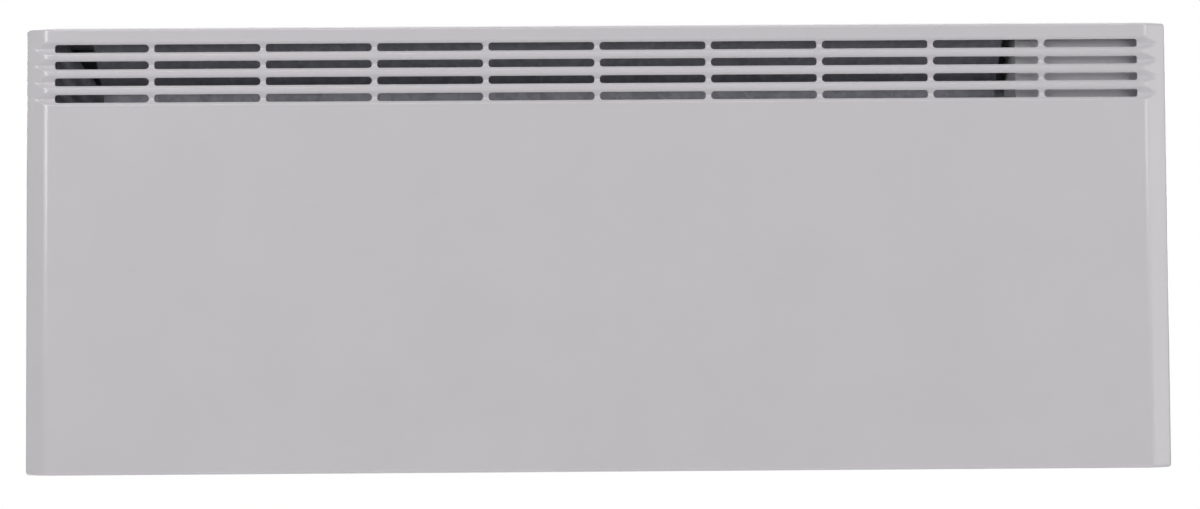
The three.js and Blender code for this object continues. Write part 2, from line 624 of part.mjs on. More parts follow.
/** A blind rivet through a stack from backY forwards to frontY, with a head at each end. */
function rivet([x, z], frontY, backY) {
  const low = frontY - GAP;
  const high = backY + GAP;
  const tail = (RIVET_RADIUS + RIVET_HEAD_RADIUS) / 2;
  const profile = [
    [0, low - RIVET_HEAD], [RIVET_HEAD_RADIUS, low - RIVET_HEAD / 2], [RIVET_HEAD_RADIUS, low],
    [RIVET_RADIUS, low], [RIVET_RADIUS, high], [tail, high], [tail, high + RIVET_HEAD], [0, high + RIVET_HEAD],
  ];
  return turned(profile, 'y', [x, 0, z], SCREW_SIDES);
}

addPiece('front_panel', PAINTED_STEEL, frontPanel());
addPiece('rear_panel', GALVANISED, rearPanel());
casingScrewPlaces().forEach((place, i) => addPiece(`casing_screw_${i + 1}`, ZINC_PLATED, screw(place)));

// ---------------------------------------------------------------- wall rail, hooks and spacers

function wallRail() {
  const half = RAIL_HEIGHT / 2;
  const path = [[-RAIL_FLANGE, -half], [0, -half], [0, half], [-RAIL_FLANGE, half]];
  const channel = pull(bentSheet(path, RAIL_SHEET, RAIL_SHEET), 'x', -RAIL_LENGTH / 2, RAIL_LENGTH / 2);
  const slots = Object.values(SIDES).flatMap((side) => RAIL_SCREWS.map((share) => {
    const x = side * share * (HOOK_X - HOOK_FOOT);
    return rectangle(x, 0, RAIL_SLOT_LENGTH, RAIL_SLOT_WIDTH, RAIL_SLOT_CORNER, SLOT_ARC_STEPS);
  }));
  return cut(channel, slots.map((slot) => pull(slot, 'y', -RAIL_SHEET - 1, 1)));
}

/** A welded hook: a foot against the rail, an arm through the rear panel and an upright finger. */
function wallHook(side) {
  const footBack = -RAIL_SHEET - GAP;
  const fingerBack = REAR_INNER_Y - HOOK_PLAY;
  const fingerFront = fingerBack - HOOK_FINGER_SHEET;
  const shoulderY = REAR_OUTER_Y + HOOK_PLAY;
  const reach = RAIL_HEIGHT / 2 - HOOK_FOOT_MARGIN;
  const corners = [
    [footBack, -reach], [footBack - HOOK_SHEET, -reach], [shoulderY, SADDLE_Z - HOOK_ARM],
    [fingerFront, SADDLE_Z - HOOK_ARM, HOOK_ROOT_CORNER],
    [fingerFront, SADDLE_Z + HOOK_FINGER, HOOK_TIP_CORNER],
    [fingerBack, SADDLE_Z + HOOK_FINGER, HOOK_TIP_CORNER], [fingerBack, SADDLE_Z], [shoulderY, SADDLE_Z],
    [shoulderY, SADDLE_Z + HOOK_ARM, HOOK_ROOT_CORNER], [footBack - HOOK_SHEET, reach], [footBack, reach],
  ];
  const [x0, x1] = [side * HOOK_X - HOOK_SHEET / 2, side * HOOK_X + HOOK_SHEET / 2];
  const arm = pull(outline(corners, SLOT_ARC_STEPS), 'x', x0, x1);
  const inward = side > 0 ? [x0 - HOOK_FOOT, x0 + WELD_OVERLAP] : [x1 - WELD_OVERLAP, x1 + HOOK_FOOT];
  return arm.add(block(inward, [footBack - HOOK_SHEET, footBack], [-reach, reach]));
}

/** A moulded bumper that keeps the casing upright off the wall, with a barbed pin in the rear panel. */
function spacerFoot(side) {
  const baseY = REAR_OUTER_Y + GAP;
  const barbY = REAR_INNER_Y - GAP;
  const barbRadius = FOOT_PIN_RADIUS + 2 * GAP;
  const profile = [
    [0, 0], [FOOT_PAD_RADIUS, 0], [FOOT_TIP_RADIUS, FOOT_PAD_RADIUS - FOOT_TIP_RADIUS],
    [FOOT_BASE_RADIUS, baseY + FOOT_RIM], [FOOT_BASE_RADIUS, baseY], [FOOT_PIN_RADIUS, baseY],
    [FOOT_PIN_RADIUS, barbY], [barbRadius, barbY], [FOOT_PIN_RADIUS / 2, barbY - FOOT_BARB],
    [0, barbY - FOOT_BARB],
  ];
  return turned(profile, 'y', [side * FOOT_X, 0, FOOT_Z]);
}

addPiece('wall_rail', ZINC_PLATED, wallRail());
for (const [name, side] of Object.entries(SIDES)) {
  addPiece(`wall_hook_${name}`, ZINC_PLATED, wallHook(side));
  addPiece(`spacer_foot_${name}`, GREY_PLASTIC, spacerFoot(side));
}

// ---------------------------------------------------------------- heat shield and heating element

/** Rear line of the shield in (y, z), from its foot to the top of the deflector. */
const shieldPath = () => [
  [REAR_INNER_Y - GAP, SHIELD_FOOT_Z],
  [REAR_INNER_Y - GAP, SHIELD_FOOT_Z + SHIELD_FOOT],
  [SHIELD_REAR_Y, SHIELD_FOOT_Z + SHIELD_FOOT + SHIELD_STANDOFF],
  [SHIELD_REAR_Y, SHIELD_BEND_Z],
  [SHIELD_TOP_Y, SHIELD_TOP_Z],
];

const bracketX = (side) => (side > 0 ? ELEMENT_RIGHT : ELEMENT_LEFT) + side * BRACKET_OUT;

const bracketRivetPlaces = (side) => [-1, 1].map((end) => [
  bracketX(side) + side * BRACKET_RIVET_OUT,
  ELEMENT_Z + end * BRACKET_RIVET_SPREAD,
]);

function heatShield() {
  const sheet = pull(bentSheet(shieldPath(), SHIELD_SHEET), 'x', SHIELD_LEFT, SHIELD_RIGHT);
  const brackets = Object.values(SIDES).flatMap(bracketRivetPlaces);
  return cut(sheet, [...shieldRivetPlaces(), ...brackets].map((place) => holeY(RIVET_RADIUS + GAP, place)));
}

/** Splayed end plate that closes the left end of the deflector. */
function deflectorCheek() {
  const backX = SHIELD_LEFT + SHIELD_SHEET;
  const backY = SHIELD_FRONT_Y - GAP;
  const path = [[backX, backY], [backX - CHEEK_SPLAY, SHIELD_TOP_Y - GAP]];
  const plate = pull(bentSheet(path, SHIELD_SHEET), 'z', TOP_Z - CHEEK_DROP, SHIELD_TOP_Z);
  const slope = (SHIELD_TOP_Z - SHIELD_BEND_Z) / (SHIELD_REAR_Y - SHIELD_TOP_Y);
  const drop = (SHIELD_SHEET + GAP) * Math.hypot(1, slope);
  const reach = SHIELD_SHEET * 4;
  const clearZ = TOP_Z + reach * slope;
  const above = [
    [SHIELD_REAR_Y + reach, SHIELD_BEND_Z - reach * slope - drop],
    [SHIELD_REAR_Y + reach, clearZ],
    [SHIELD_TOP_Y - reach, clearZ],
    [SHIELD_TOP_Y - reach, SHIELD_TOP_Z + reach * slope - drop],
  ];
  const roof = pull(outline(above), 'x', backX - CHEEK_SPLAY - reach, backX + reach);
  return plate.subtract(roof);
}

/** Cross-section of the extruded element: four arms from a round boss, each with cooling fins. */
function elementProfile() {
  const [reachY, reachZ] = [ELEMENT_DEPTH / 2, ELEMENT_HEIGHT / 2];
  const [tipY, tipZ] = [reachY - FIN_SHEET / 2, reachZ - OUTER_FIN];
  const bars = [];
  for (const v of [-1, 1]) {
    for (const u of [-1, 1]) {
      const tip = [ELEMENT_Y + u * tipY, ELEMENT_Z + v * tipZ];
      const start = [ELEMENT_Y, ELEMENT_Z + v * FIN_SHEET];
      bars.push(bentSheet(u * v > 0 ? [start, tip] : [tip, start], FIN_SHEET));
      for (let fin = 1; fin <= FINS_PER_ARM; fin += 1) {
        const share = fin / FINS_PER_ARM;
        const root = tipZ * share - FIN_SHEET;
        const middle = ELEMENT_Z + (v * (root + reachZ)) / 2;
        bars.push(rectangle(ELEMENT_Y + u * tipY * share, middle, FIN_SHEET, reachZ - root));
      }
    }
  }
  const boss = rod(BOSS_RADIUS, 'x', ELEMENT_LEFT, ELEMENT_RIGHT, [0, ELEMENT_Y, ELEMENT_Z]);
  const arms = bars.map((bar) => pull(bar, 'x', ELEMENT_LEFT, ELEMENT_RIGHT));
  const bore = rod(ROD_RADIUS + GAP, 'x', ELEMENT_LEFT - 1, ELEMENT_RIGHT + 1, [0, ELEMENT_Y, ELEMENT_Z]);
  return join([boss, ...arms]).subtract(bore);
}

const rodEnd = (side) => (side > 0 ? ELEMENT_RIGHT : ELEMENT_LEFT) + side * ROD_OVERHANG;

function elementBracket(side) {
  const x = bracketX(side);
  const footY = SHIELD_FRONT_Y - GAP;
  const tipY = ELEMENT_Y - BUSH_FLANGE_RADIUS - BRACKET_TIP;
  const path = [[x, tipY], [x, footY], [x + side * BRACKET_FOOT, footY]];
  const sheet = bentSheet(side > 0 ? path : path.reverse(), -BRACKET_SHEET);
  const strip = pull(sheet, 'z', ELEMENT_Z - BRACKET_HALF_HEIGHT, ELEMENT_Z + BRACKET_HALF_HEIGHT);
  const axis = [0, ELEMENT_Y, ELEMENT_Z];
  const hole = rod(BUSH_NECK_RADIUS + GAP, 'x', x - BRACKET_FOOT, x + BRACKET_FOOT, axis);
  const rivets = bracketRivetPlaces(side).map((place) => holeY(RIVET_RADIUS + GAP, place));
  return cut(strip, [hole, ...rivets]);
}

/** A ceramic spool that insulates the rod from its bracket, with its flange on the outer side. */
function rodBush(side) {
  const inner = -BRACKET_SHEET - BUSH_INNER_REACH;
  const outer = BRACKET_SHEET + GAP;
  const profile = [
    [ROD_RADIUS + GAP, inner], [BUSH_NECK_RADIUS, inner], [BUSH_NECK_RADIUS, outer],
    [BUSH_FLANGE_RADIUS, outer], [BUSH_FLANGE_RADIUS, outer + BUSH_FLANGE],
    [ROD_RADIUS + GAP, outer + BUSH_FLANGE],
  ];
  const mirrored = profile.map(([radius, along]) => [radius, along * side]);
  return ring(mirrored, 'x', [bracketX(side), ELEMENT_Y, ELEMENT_Z]);
}

/** A threaded pin at the end of the rod, with its collar and nut. */
function terminalPin(side) {
  const profile = [
    [0, 0], [PIN_SEAL_RADIUS, 0], [PIN_SEAL_RADIUS, PIN_SEAL], [PIN_RADIUS, PIN_SEAL],
    [PIN_RADIUS, PIN_NUT[0]], [ROD_RADIUS, PIN_NUT[0]], [ROD_RADIUS, PIN_NUT[1]], [PIN_RADIUS, PIN_NUT[1]],
    [PIN_RADIUS, PIN_LENGTH], [0, PIN_LENGTH],
  ];
  const mirrored = profile.map(([radius, along]) => [radius, along * side]);
  return turned(mirrored, 'x', [rodEnd(side) + side * GAP, ELEMENT_Y, ELEMENT_Z], SCREW_SIDES);
}

/** A bimetal cut-out on the shield, with a mounting flange and a blade on each side. */
function thermalCutout() {
  const backY = SHIELD_FRONT_Y - GAP;
  const frontY = backY - CUTOUT_THICKNESS;
  const can = rod(CUTOUT_RADIUS, 'y', frontY, backY, [CUTOUT_X, 0, CUTOUT_Z]);
  const flange = rectangle(CUTOUT_X, CUTOUT_Z, CUTOUT_RADIUS, 2 * CUTOUT_EAR, CUTOUT_EAR_CORNER);
  const reach = CUTOUT_RADIUS + BLADE_LENGTH;
  const blades = block(
    [CUTOUT_X - reach, CUTOUT_X + reach],
    [frontY, frontY + BLADE_SHEET],
    [CUTOUT_Z - BLADE_WIDTH / 2, CUTOUT_Z + BLADE_WIDTH / 2],
  );
  return join([can, pull(flange, 'y', backY - BLADE_SHEET, backY), blades]);
}

addPiece('heat_shield', DARK_GALVANISED, heatShield());
addPiece('deflector_cheek', DARK_GALVANISED, deflectorCheek());
shieldRivetPlaces().forEach((place, i) => {
  const stack = [REAR_INNER_Y - GAP - SHIELD_SHEET, REAR_OUTER_Y];
  addPiece(`shield_rivet_${i + 1}`, ALUMINIUM, rivet(place, ...stack));
});
addPiece('element_fins', ALUMINIUM, elementProfile());
const rodSpan = [rodEnd(SIDES.left), rodEnd(SIDES.right)];
addPiece('heating_rod', BLACKENED_STEEL, rod(ROD_RADIUS, 'x', ...rodSpan, [0, ELEMENT_Y, ELEMENT_Z]));
for (const [name, side] of Object.entries(SIDES)) {
  addPiece(`element_bracket_${name}`, GALVANISED, elementBracket(side));
  addPiece(`rod_bush_${name}`, CERAMIC, rodBush(side));
  addPiece(`terminal_pin_${name}`, ZINC_PLATED, terminalPin(side));
  bracketRivetPlaces(side).forEach((place, i) => {
    const stack = [SHIELD_FRONT_Y - GAP - BRACKET_SHEET, SHIELD_REAR_Y];
    addPiece(`bracket_rivet_${name}_${i + 1}`, ALUMINIUM, rivet(place, ...stack));
  });
}
addPiece('thermal_cutout', DARK_PLASTIC, thermalCutout());

// ---------------------------------------------------------------- controls in the side wall

/** Moulded box behind the right-hand slots; its open end meets the fascia. */
function controlHousing() {
  const [depth, midY] = [HOUSING_BACK_Y - HOUSING_FRONT_Y, (HOUSING_BACK_Y + HOUSING_FRONT_Y) / 2];
  const shell = rectangle(midY, CONTROL_Z, depth, HOUSING_HEIGHT, HOUSING_CORNER);
  const room = rectangle(
    midY, CONTROL_Z,
    depth - 2 * HOUSING_WALL, HOUSING_HEIGHT - 2 * HOUSING_WALL, HOUSING_CORNER - HOUSING_WALL,
  );
  const bosses = housingScrewPlaces().map(([x, z]) => (
    rod(HOUSING_BOSS_RADIUS, 'y', HOUSING_BACK_Y - HOUSING_WALL / 2, REAR_INNER_Y - GAP, [x, 0, z])
  ));
  const floorSpan = [HOUSING_BOTTOM_Z - 1, HOUSING_BOTTOM_Z + HOUSING_WALL + 1];
  const endSpan = [HOUSING_LEFT - 1, HOUSING_LEFT + HOUSING_WALL + 1];
  return cut(join([pull(shell, 'x', HOUSING_LEFT, PLATE_BACK_X - GAP), ...bosses]), [
    pull(room, 'x', HOUSING_LEFT + HOUSING_WALL, PLATE_BACK_X + 1),
    ...housingScrewPlaces().map((place) => holeY(SCREW_RADIUS + GAP, place)),
    rod(LEAD_HOLE_RADIUS, 'z', ...floorSpan, [BLOCK_X, CONTROL_Y, 0]),
    rod(LEAD_HOLE_RADIUS, 'x', ...endSpan, [0, CONTROL_Y, CONTROL_Z]),
  ]);
}

/** Fascia behind the side wall: a pad fills the opening, a well holds the knob and a pocket the switch. */
function controlFascia() {
  const plate = rectangle(
    CONTROL_Y, CONTROL_Z, PLATE_WIDTH, OPENING_HEIGHT + 2 * PLATE_MARGIN, OPENING_CORNER,
  );
  const pad = rectangle(
    CONTROL_Y, CONTROL_Z, OPENING_WIDTH - 2 * GAP, OPENING_HEIGHT - 2 * GAP, OPENING_CORNER - GAP,
  );
  const well = (grow) => rectangle(
    CONTROL_Y, KNOB_Z, WELL_WIDTH + 2 * grow, WELL_HEIGHT + 2 * grow, WELL_CORNER + grow,
  );
  const flangeSize = [SWITCH_SIZE[1] + 2 * SWITCH_FLANGE_MARGIN, SWITCH_SIZE[2] + 2 * SWITCH_FLANGE_MARGIN];
  const pocket = (grow) => rectangle(
    CONTROL_Y, SWITCH_Z,
    flangeSize[0] + 2 * (POCKET_MARGIN + grow), flangeSize[1] + 2 * (POCKET_MARGIN + grow),
    POCKET_MARGIN + grow,
  );
  const switchHole = rectangle(CONTROL_Y, SWITCH_Z, SWITCH_SIZE[1] + 2 * GAP, SWITCH_SIZE[2] + 2 * GAP);
  const pocketBackX = POCKET_FLOOR_X - WELL_WALL;
  return cut(join([
    pull(plate, 'x', PLATE_BACK_X, PLATE_FRONT_X),
    pull(pad, 'x', PLATE_BACK_X, FASCIA_FACE_X),
    pull(well(WELL_WALL), 'x', WELL_BACK_X, PLATE_FRONT_X),
    pull(pocket(WELL_WALL), 'x', pocketBackX, PLATE_FRONT_X),
  ]), [
    pull(well(0), 'x', WELL_FLOOR_X, HALF_WIDTH + 1),
    pull(pocket(0), 'x', POCKET_FLOOR_X, HALF_WIDTH + 1),
    rod(SHAFT_RADIUS + GAP, 'x', WELL_BACK_X - 1, WELL_FLOOR_X + 1, [0, CONTROL_Y, KNOB_Z]),
    pull(switchHole, 'x', pocketBackX - 1, POCKET_FLOOR_X + 1),
    rod(LENS_RADIUS + GAP, 'x', PLATE_BACK_X - 1, HALF_WIDTH + 1, [0, CONTROL_Y, LENS_Z]),
  ]);
}

/** A knob with fluted grip, a pointer groove and a blind bore for the shaft. */
function thermostatKnob() {
  const points = [];
  for (let i = 0; i < KNOB_FLUTES * FLUTE_POINTS; i += 1) {
    const angle = (2 * Math.PI * i) / (KNOB_FLUTES * FLUTE_POINTS);
    const radius = KNOB_RADIUS - (KNOB_FLUTE_DEPTH * (1 - Math.cos(KNOB_FLUTES * angle))) / 2;
    points.push(new THREE.Vector2(CONTROL_Y + radius * Math.cos(angle), KNOB_Z + radius * Math.sin(angle)));
  }
  const frontX = KNOB_BACK_X + KNOB_HEIGHT;
  const centre = [0, CONTROL_Y, KNOB_Z];
  const dome = turned([
    [0, KNOB_BACK_X], [KNOB_RADIUS + 1, KNOB_BACK_X], [KNOB_RADIUS + 1, frontX - KNOB_BEVEL - 1],
    [KNOB_RADIUS - KNOB_BEVEL, frontX], [0, frontX],
  ], 'x', centre, ROUND_SIDES * 2);
  const body = pull(new THREE.Shape(points), 'x', KNOB_BACK_X, frontX).intersect(dome);
  return cut(body, [
    rod(SHAFT_RADIUS + GAP, 'x', KNOB_BACK_X - 1, frontX - KNOB_FACE, centre),
    block(
      [frontX - 1, frontX + 1],
      [CONTROL_Y - KNOB_POINTER / 2, CONTROL_Y + KNOB_POINTER / 2],
      [KNOB_Z + KNOB_RADIUS * KNOB_POINTER_FROM, KNOB_Z + KNOB_RADIUS + 1],
    ),
  ]);
}

const SHAFT_SPAN = [THERMOSTAT_RIGHT_X - SHAFT_SEAT, KNOB_BACK_X + KNOB_HEIGHT - KNOB_FACE - GAP];

/** A push-on blade that stands out of the back of a control, at height z. */
const blade = (fromX, toX, z) => block(
  [fromX, toX],
  [CONTROL_Y - BLADE_SHEET / 2, CONTROL_Y + BLADE_SHEET / 2],
  [z - BLADE_WIDTH / 2, z + BLADE_WIDTH / 2],
);

/** The thermostat's case, with a blind bore for the shaft and two blades. */
function thermostatBody() {
  const [, width, height] = THERMOSTAT_SIZE;
  const box = rectangle(CONTROL_Y, KNOB_Z, width, height, THERMOSTAT_CORNER);
  const blades = [-1, 1].map((end) => (
    blade(THERMOSTAT_LEFT_X - BLADE_LENGTH, THERMOSTAT_LEFT_X + 1, KNOB_Z + end * THERMOSTAT_BLADE_SPREAD)
  ));
  const axis = [0, CONTROL_Y, KNOB_Z];
  const bore = rod(SHAFT_RADIUS + GAP, 'x', SHAFT_SPAN[0] - GAP, THERMOSTAT_RIGHT_X + 1, axis);
  return join([pull(box, 'x', THERMOSTAT_LEFT_X, THERMOSTAT_RIGHT_X), ...blades]).subtract(bore);
}

const SWITCH_BACK_X = POCKET_FLOOR_X + GAP - SWITCH_SIZE[0];

/** The switch's case: a flange on the pocket's floor and a well for the rocker, with holes for its pins. */
function switchBody() {
  const [, width, height] = SWITCH_SIZE;
  const flange = rectangle(
    CONTROL_Y, SWITCH_Z,
    width + 2 * SWITCH_FLANGE_MARGIN, height + 2 * SWITCH_FLANGE_MARGIN, SWITCH_FLANGE_MARGIN,
  );
  const blades = [-1, 1].map((end) => (
    blade(SWITCH_BACK_X - BLADE_LENGTH / 2, SWITCH_BACK_X + 1, SWITCH_Z + end * SWITCH_BLADE_SPREAD)
  ));
  const room = rectangle(CONTROL_Y, SWITCH_Z, width - 2 * SWITCH_WALL, height - 2 * SWITCH_WALL + 1);
  const pinReach = (width - SWITCH_WALL) / 2 + GAP;
  return cut(join([
    pull(rectangle(CONTROL_Y, SWITCH_Z, width, height), 'x', SWITCH_BACK_X, SWITCH_FACE_X),
    pull(flange, 'x', POCKET_FLOOR_X + GAP, SWITCH_FACE_X),
    ...blades,
  ]), [
    pull(room, 'x', PIVOT_X - ROCKER_BELLY - 2 * GAP, SWITCH_FACE_X + 1),
    rod(ROCKER_PIN_RADIUS + GAP, 'y', -pinReach, pinReach, [PIVOT_X, CONTROL_Y, SWITCH_Z]),
  ]);
}

/** The rocker, drawn level and turned to its pressed side: a dished face, a round belly and two pins. */
function switchRocker() {
  const width = SWITCH_SIZE[1] - 2 * (SWITCH_WALL + GAP);
  const level = [
    [ROCKER_RISE, ROCKER_HALF_LENGTH, ROCKER_EDGE], [ROCKER_DIP, 0],
    [ROCKER_RISE, -ROCKER_HALF_LENGTH, ROCKER_EDGE], [ROCKER_EDGE, -ROCKER_HALF_LENGTH],
    [-ROCKER_BELLY / 2, -ROCKER_SHOULDER], [-ROCKER_BELLY, -ROCKER_KEEL],
    [-ROCKER_BELLY, ROCKER_KEEL], [-ROCKER_BELLY / 2, ROCKER_SHOULDER], [ROCKER_EDGE, ROCKER_HALF_LENGTH],
  ];
  const tilt = THREE.MathUtils.degToRad(ROCKER_TILT);
  const corners = level.map(([out, up, radius]) => [
    PIVOT_X + out * Math.cos(tilt) - up * Math.sin(tilt),
    SWITCH_Z + out * Math.sin(tilt) + up * Math.cos(tilt),
    radius,
  ]);
  const body = pull(outline(corners, SLOT_ARC_STEPS), 'y', CONTROL_Y - width / 2, CONTROL_Y + width / 2);
  const pinReach = (SWITCH_SIZE[1] - SWITCH_WALL) / 2;
  return body.add(rod(ROCKER_PIN_RADIUS, 'y', -pinReach, pinReach, [PIVOT_X, CONTROL_Y, SWITCH_Z]));
}

/** A pilot lens: a domed barrel pushed through the fascia, with a flange behind it. */
function indicatorLens() {
  const [back, front] = [PLATE_BACK_X - GAP, FASCIA_FACE_X];
  const profile = [
    [0, back - LENS_TAIL], [LENS_RADIUS, back - LENS_TAIL],
    [LENS_RADIUS + LENS_FLANGE, back - LENS_FLANGE_DEPTH], [LENS_RADIUS + LENS_FLANGE, back],
    [LENS_RADIUS, back], [LENS_RADIUS, front - 1], [LENS_TIP_RADIUS, front - GAP], [0, front],
  ];
  return turned(profile, 'x', [0, CONTROL_Y, LENS_Z]);
}

addPiece('control_housing', LIGHT_PLASTIC, controlHousing());
housingScrewPlaces().forEach((place, i) => addPiece(`housing_screw_${i + 1}`, ZINC_PLATED, screw(place)));
addPiece('control_fascia', LIGHT_PLASTIC, controlFascia());
addPiece('thermostat_body', DARK_PLASTIC, thermostatBody());
addPiece('thermostat_shaft', ZINC_PLATED, rod(SHAFT_RADIUS, 'x', ...SHAFT_SPAN, [0, CONTROL_Y, KNOB_Z]));
addPiece('thermostat_knob', LIGHT_PLASTIC, thermostatKnob());
addPiece('switch_body', DARK_PLASTIC, switchBody());
addPiece('switch_rocker', DARK_PLASTIC, switchRocker());
addPiece('indicator_lens', LENS_AMBER, indicatorLens());

// ---------------------------------------------------------------- supply side and internal leads

/** Three-pole terminal block: a stepped moulding with a screw well over each pole. */
function terminalBlock() {
  const [length, depth, height] = BLOCK_SIZE;
  const backY = REAR_INNER_Y - GAP;
  const corners = [
    [backY, BLOCK_Z - height / 2], [backY, BLOCK_Z + height / 2],
    [backY - depth + BLOCK_STEP, BLOCK_Z + height / 2], [backY - depth, BLOCK_Z + BLOCK_RIDGE / 2, BLOCK_EDGE],
    [backY - depth, BLOCK_Z - BLOCK_RIDGE / 2, BLOCK_EDGE], [backY - depth + BLOCK_STEP, BLOCK_Z - height / 2],
  ];
  const body = pull(outline(corners, SLOT_ARC_STEPS), 'x', BLOCK_X - length / 2, BLOCK_X + length / 2);
  const wellSpan = [backY - depth - 1, backY - depth + BLOCK_WELL_DEPTH];
  const wells = [-1, 0, 1].map((pole) => (
    rod(BLOCK_WELL_RADIUS, 'y', ...wellSpan, [BLOCK_X + (pole * length) / BLOCK_POLES, 0, BLOCK_Z], SCREW_SIDES)
  ));
  return cut(body, wells);
}

/** A snap-in bush in the rear panel for the supply lead, with a flange inside and a collar outside. */
function cableGland() {
  const [inside, outside] = [REAR_INNER_Y - GAP, REAR_OUTER_Y + GAP];
  const profile = [
    [GLAND_BORE, inside - GLAND_INNER_LIP], [GLAND_RADIUS, inside - GLAND_FLANGE], [GLAND_RADIUS, inside],
    [GLAND_NECK_RADIUS, inside], [GLAND_NECK_RADIUS, outside], [GLAND_RADIUS, outside],
    [GLAND_RADIUS, outside + GLAND_FLANGE], [GLAND_NECK_RADIUS, outside + GLAND_LENGTH],
    [GLAND_BORE, outside + GLAND_LENGTH],
  ];
  return ring(profile, 'y', [GLAND_X, 0, GLAND_Z]);
}

/** The earth stud: a head behind the rear panel and a shank through it. */
function earthStud() {
  const headY = REAR_OUTER_Y + GAP;
  const tipY = REAR_INNER_Y - EARTH_STUD_LENGTH;
  const profile = [
    [0, tipY], [EARTH_STUD_RADIUS, tipY], [EARTH_STUD_RADIUS, headY],
    [EARTH_NUT_RADIUS, headY], [EARTH_NUT_RADIUS, headY + EARTH_STUD_HEAD], [0, headY + EARTH_STUD_HEAD],
  ];
  return turned(profile, 'y', [EARTH_X, 0, EARTH_Z], SCREW_SIDES);
}

function earthNut() {
  const backY = REAR_INNER_Y - GAP;
  const centre = [EARTH_X, 0, EARTH_Z];
  const blank = rod(EARTH_NUT_RADIUS, 'y', backY - EARTH_NUT, backY, centre, HEX_SIDES);
  const thread = rod(EARTH_STUD_RADIUS + GAP, 'y', backY - EARTH_NUT - 1, backY + 1, centre, SCREW_SIDES);
  return blank.subtract(thread);
}

/** An insulated lead through a list of points [x, y, z]. */
function lead(points) {
  const curve = new THREE.CatmullRomCurve3(points.map((point) => new THREE.Vector3(...point)));
  const section = [];
  for (let i = 0; i < LEAD_SIDES; i += 1) {
    const angle = (2 * Math.PI * i) / LEAD_SIDES;
    section.push(new THREE.Vector2(LEAD_RADIUS * Math.cos(angle), LEAD_RADIUS * Math.sin(angle)));
  }
  const steps = Math.min(LEAD_STEPS, Math.ceil(curve.getLength() / (5 * LEAD_RADIUS)));
  return solid(new THREE.ExtrudeGeometry(new THREE.Shape(section), { steps, extrudePath: curve }));
}

const clipX = (i) => THREE.MathUtils.lerp(SHIELD_LEFT, SHIELD_RIGHT, (i + 1) / (CLIP_COUNT + 1));

/** A saddle clip that holds the long lead to the rear panel. */
function leadClip(x) {
  const backY = REAR_INNER_Y - GAP;
  const inner = LEAD_RADIUS + GAP;
  const outer = inner + CLIP_SHEET;
  const corners = [
    [backY, LEAD_Z - outer - CLIP_EAR], [backY, LEAD_Z - inner],
    [LEAD_Y - inner, LEAD_Z - inner, inner / 2], [LEAD_Y - inner, LEAD_Z + inner, inner / 2],
    [backY, LEAD_Z + inner], [backY, LEAD_Z + outer + CLIP_HEEL],
    [backY - CLIP_SHEET, LEAD_Z + outer + CLIP_HEEL], [backY - CLIP_SHEET, LEAD_Z + outer],
    [LEAD_Y - outer, LEAD_Z + outer, CLIP_BEND], [LEAD_Y - outer, LEAD_Z - outer, CLIP_BEND],
    [backY - CLIP_SHEET, LEAD_Z - outer], [backY - CLIP_SHEET, LEAD_Z - outer - CLIP_EAR],
  ];
  return pull(outline(corners, SLOT_ARC_STEPS), 'x', x - CLIP_WIDTH / 2, x + CLIP_WIDTH / 2);
}

const blockPort = (pole, end) => [
  BLOCK_X + (pole * BLOCK_SIZE[0]) / BLOCK_POLES,
  REAR_INNER_Y - GAP - BLOCK_STEP,
  BLOCK_Z + end * (BLOCK_SIZE[2] / 2 + GAP),
];

function supplyLead() {
  const [x, y, z] = blockPort(0, 1);
  const bladeX = SWITCH_BACK_X - BLADE_LENGTH / 2 - GAP;
  const bladeZ = SWITCH_Z - SWITCH_BLADE_SPREAD;
  return lead([
    [x, y, z], [x, y, z + 20], [BLOCK_X, CONTROL_Y, HOUSING_BOTTOM_Z - 25],
    [BLOCK_X, CONTROL_Y, HOUSING_BOTTOM_Z - 4], [BLOCK_X, CONTROL_Y, HOUSING_BOTTOM_Z + 5],
    [BLOCK_X + 12, CONTROL_Y, bladeZ], [bladeX - 8, CONTROL_Y, bladeZ], [bladeX, CONTROL_Y, bladeZ],
  ]);
}

function switchLead() {
  const fromX = SWITCH_BACK_X - BLADE_LENGTH / 2 - GAP;
  const fromZ = SWITCH_Z + SWITCH_BLADE_SPREAD;
  const toX = THERMOSTAT_LEFT_X - BLADE_LENGTH - GAP;
  const toZ = KNOB_Z - THERMOSTAT_BLADE_SPREAD;
  return lead([
    [fromX, CONTROL_Y, fromZ], [fromX - 8, CONTROL_Y, fromZ], [toX - 20, CONTROL_Y, (fromZ + toZ) / 2],
    [toX - 8, CONTROL_Y, toZ], [toX, CONTROL_Y, toZ],
  ]);
}

function heatingLead() {
  const fromX = THERMOSTAT_LEFT_X - BLADE_LENGTH - GAP;
  const fromZ = KNOB_Z + THERMOSTAT_BLADE_SPREAD;
  const toX = CUTOUT_X + CUTOUT_RADIUS + BLADE_LENGTH + GAP;
  const bladeY = SHIELD_FRONT_Y - GAP - CUTOUT_THICKNESS + BLADE_SHEET / 2;
  return lead([
    [fromX, CONTROL_Y, fromZ], [fromX - 10, CONTROL_Y, fromZ], [HOUSING_LEFT + 30, CONTROL_Y, CONTROL_Z],
    [HOUSING_LEFT + 4, CONTROL_Y, CONTROL_Z], [HOUSING_LEFT - 4, CONTROL_Y, CONTROL_Z],
    [HOUSING_LEFT - 14, CONTROL_Y, CONTROL_Z - 12], [toX + 25, bladeY, CUTOUT_Z], [toX + 8, bladeY, CUTOUT_Z],
    [toX, bladeY, CUTOUT_Z],
  ]);
}

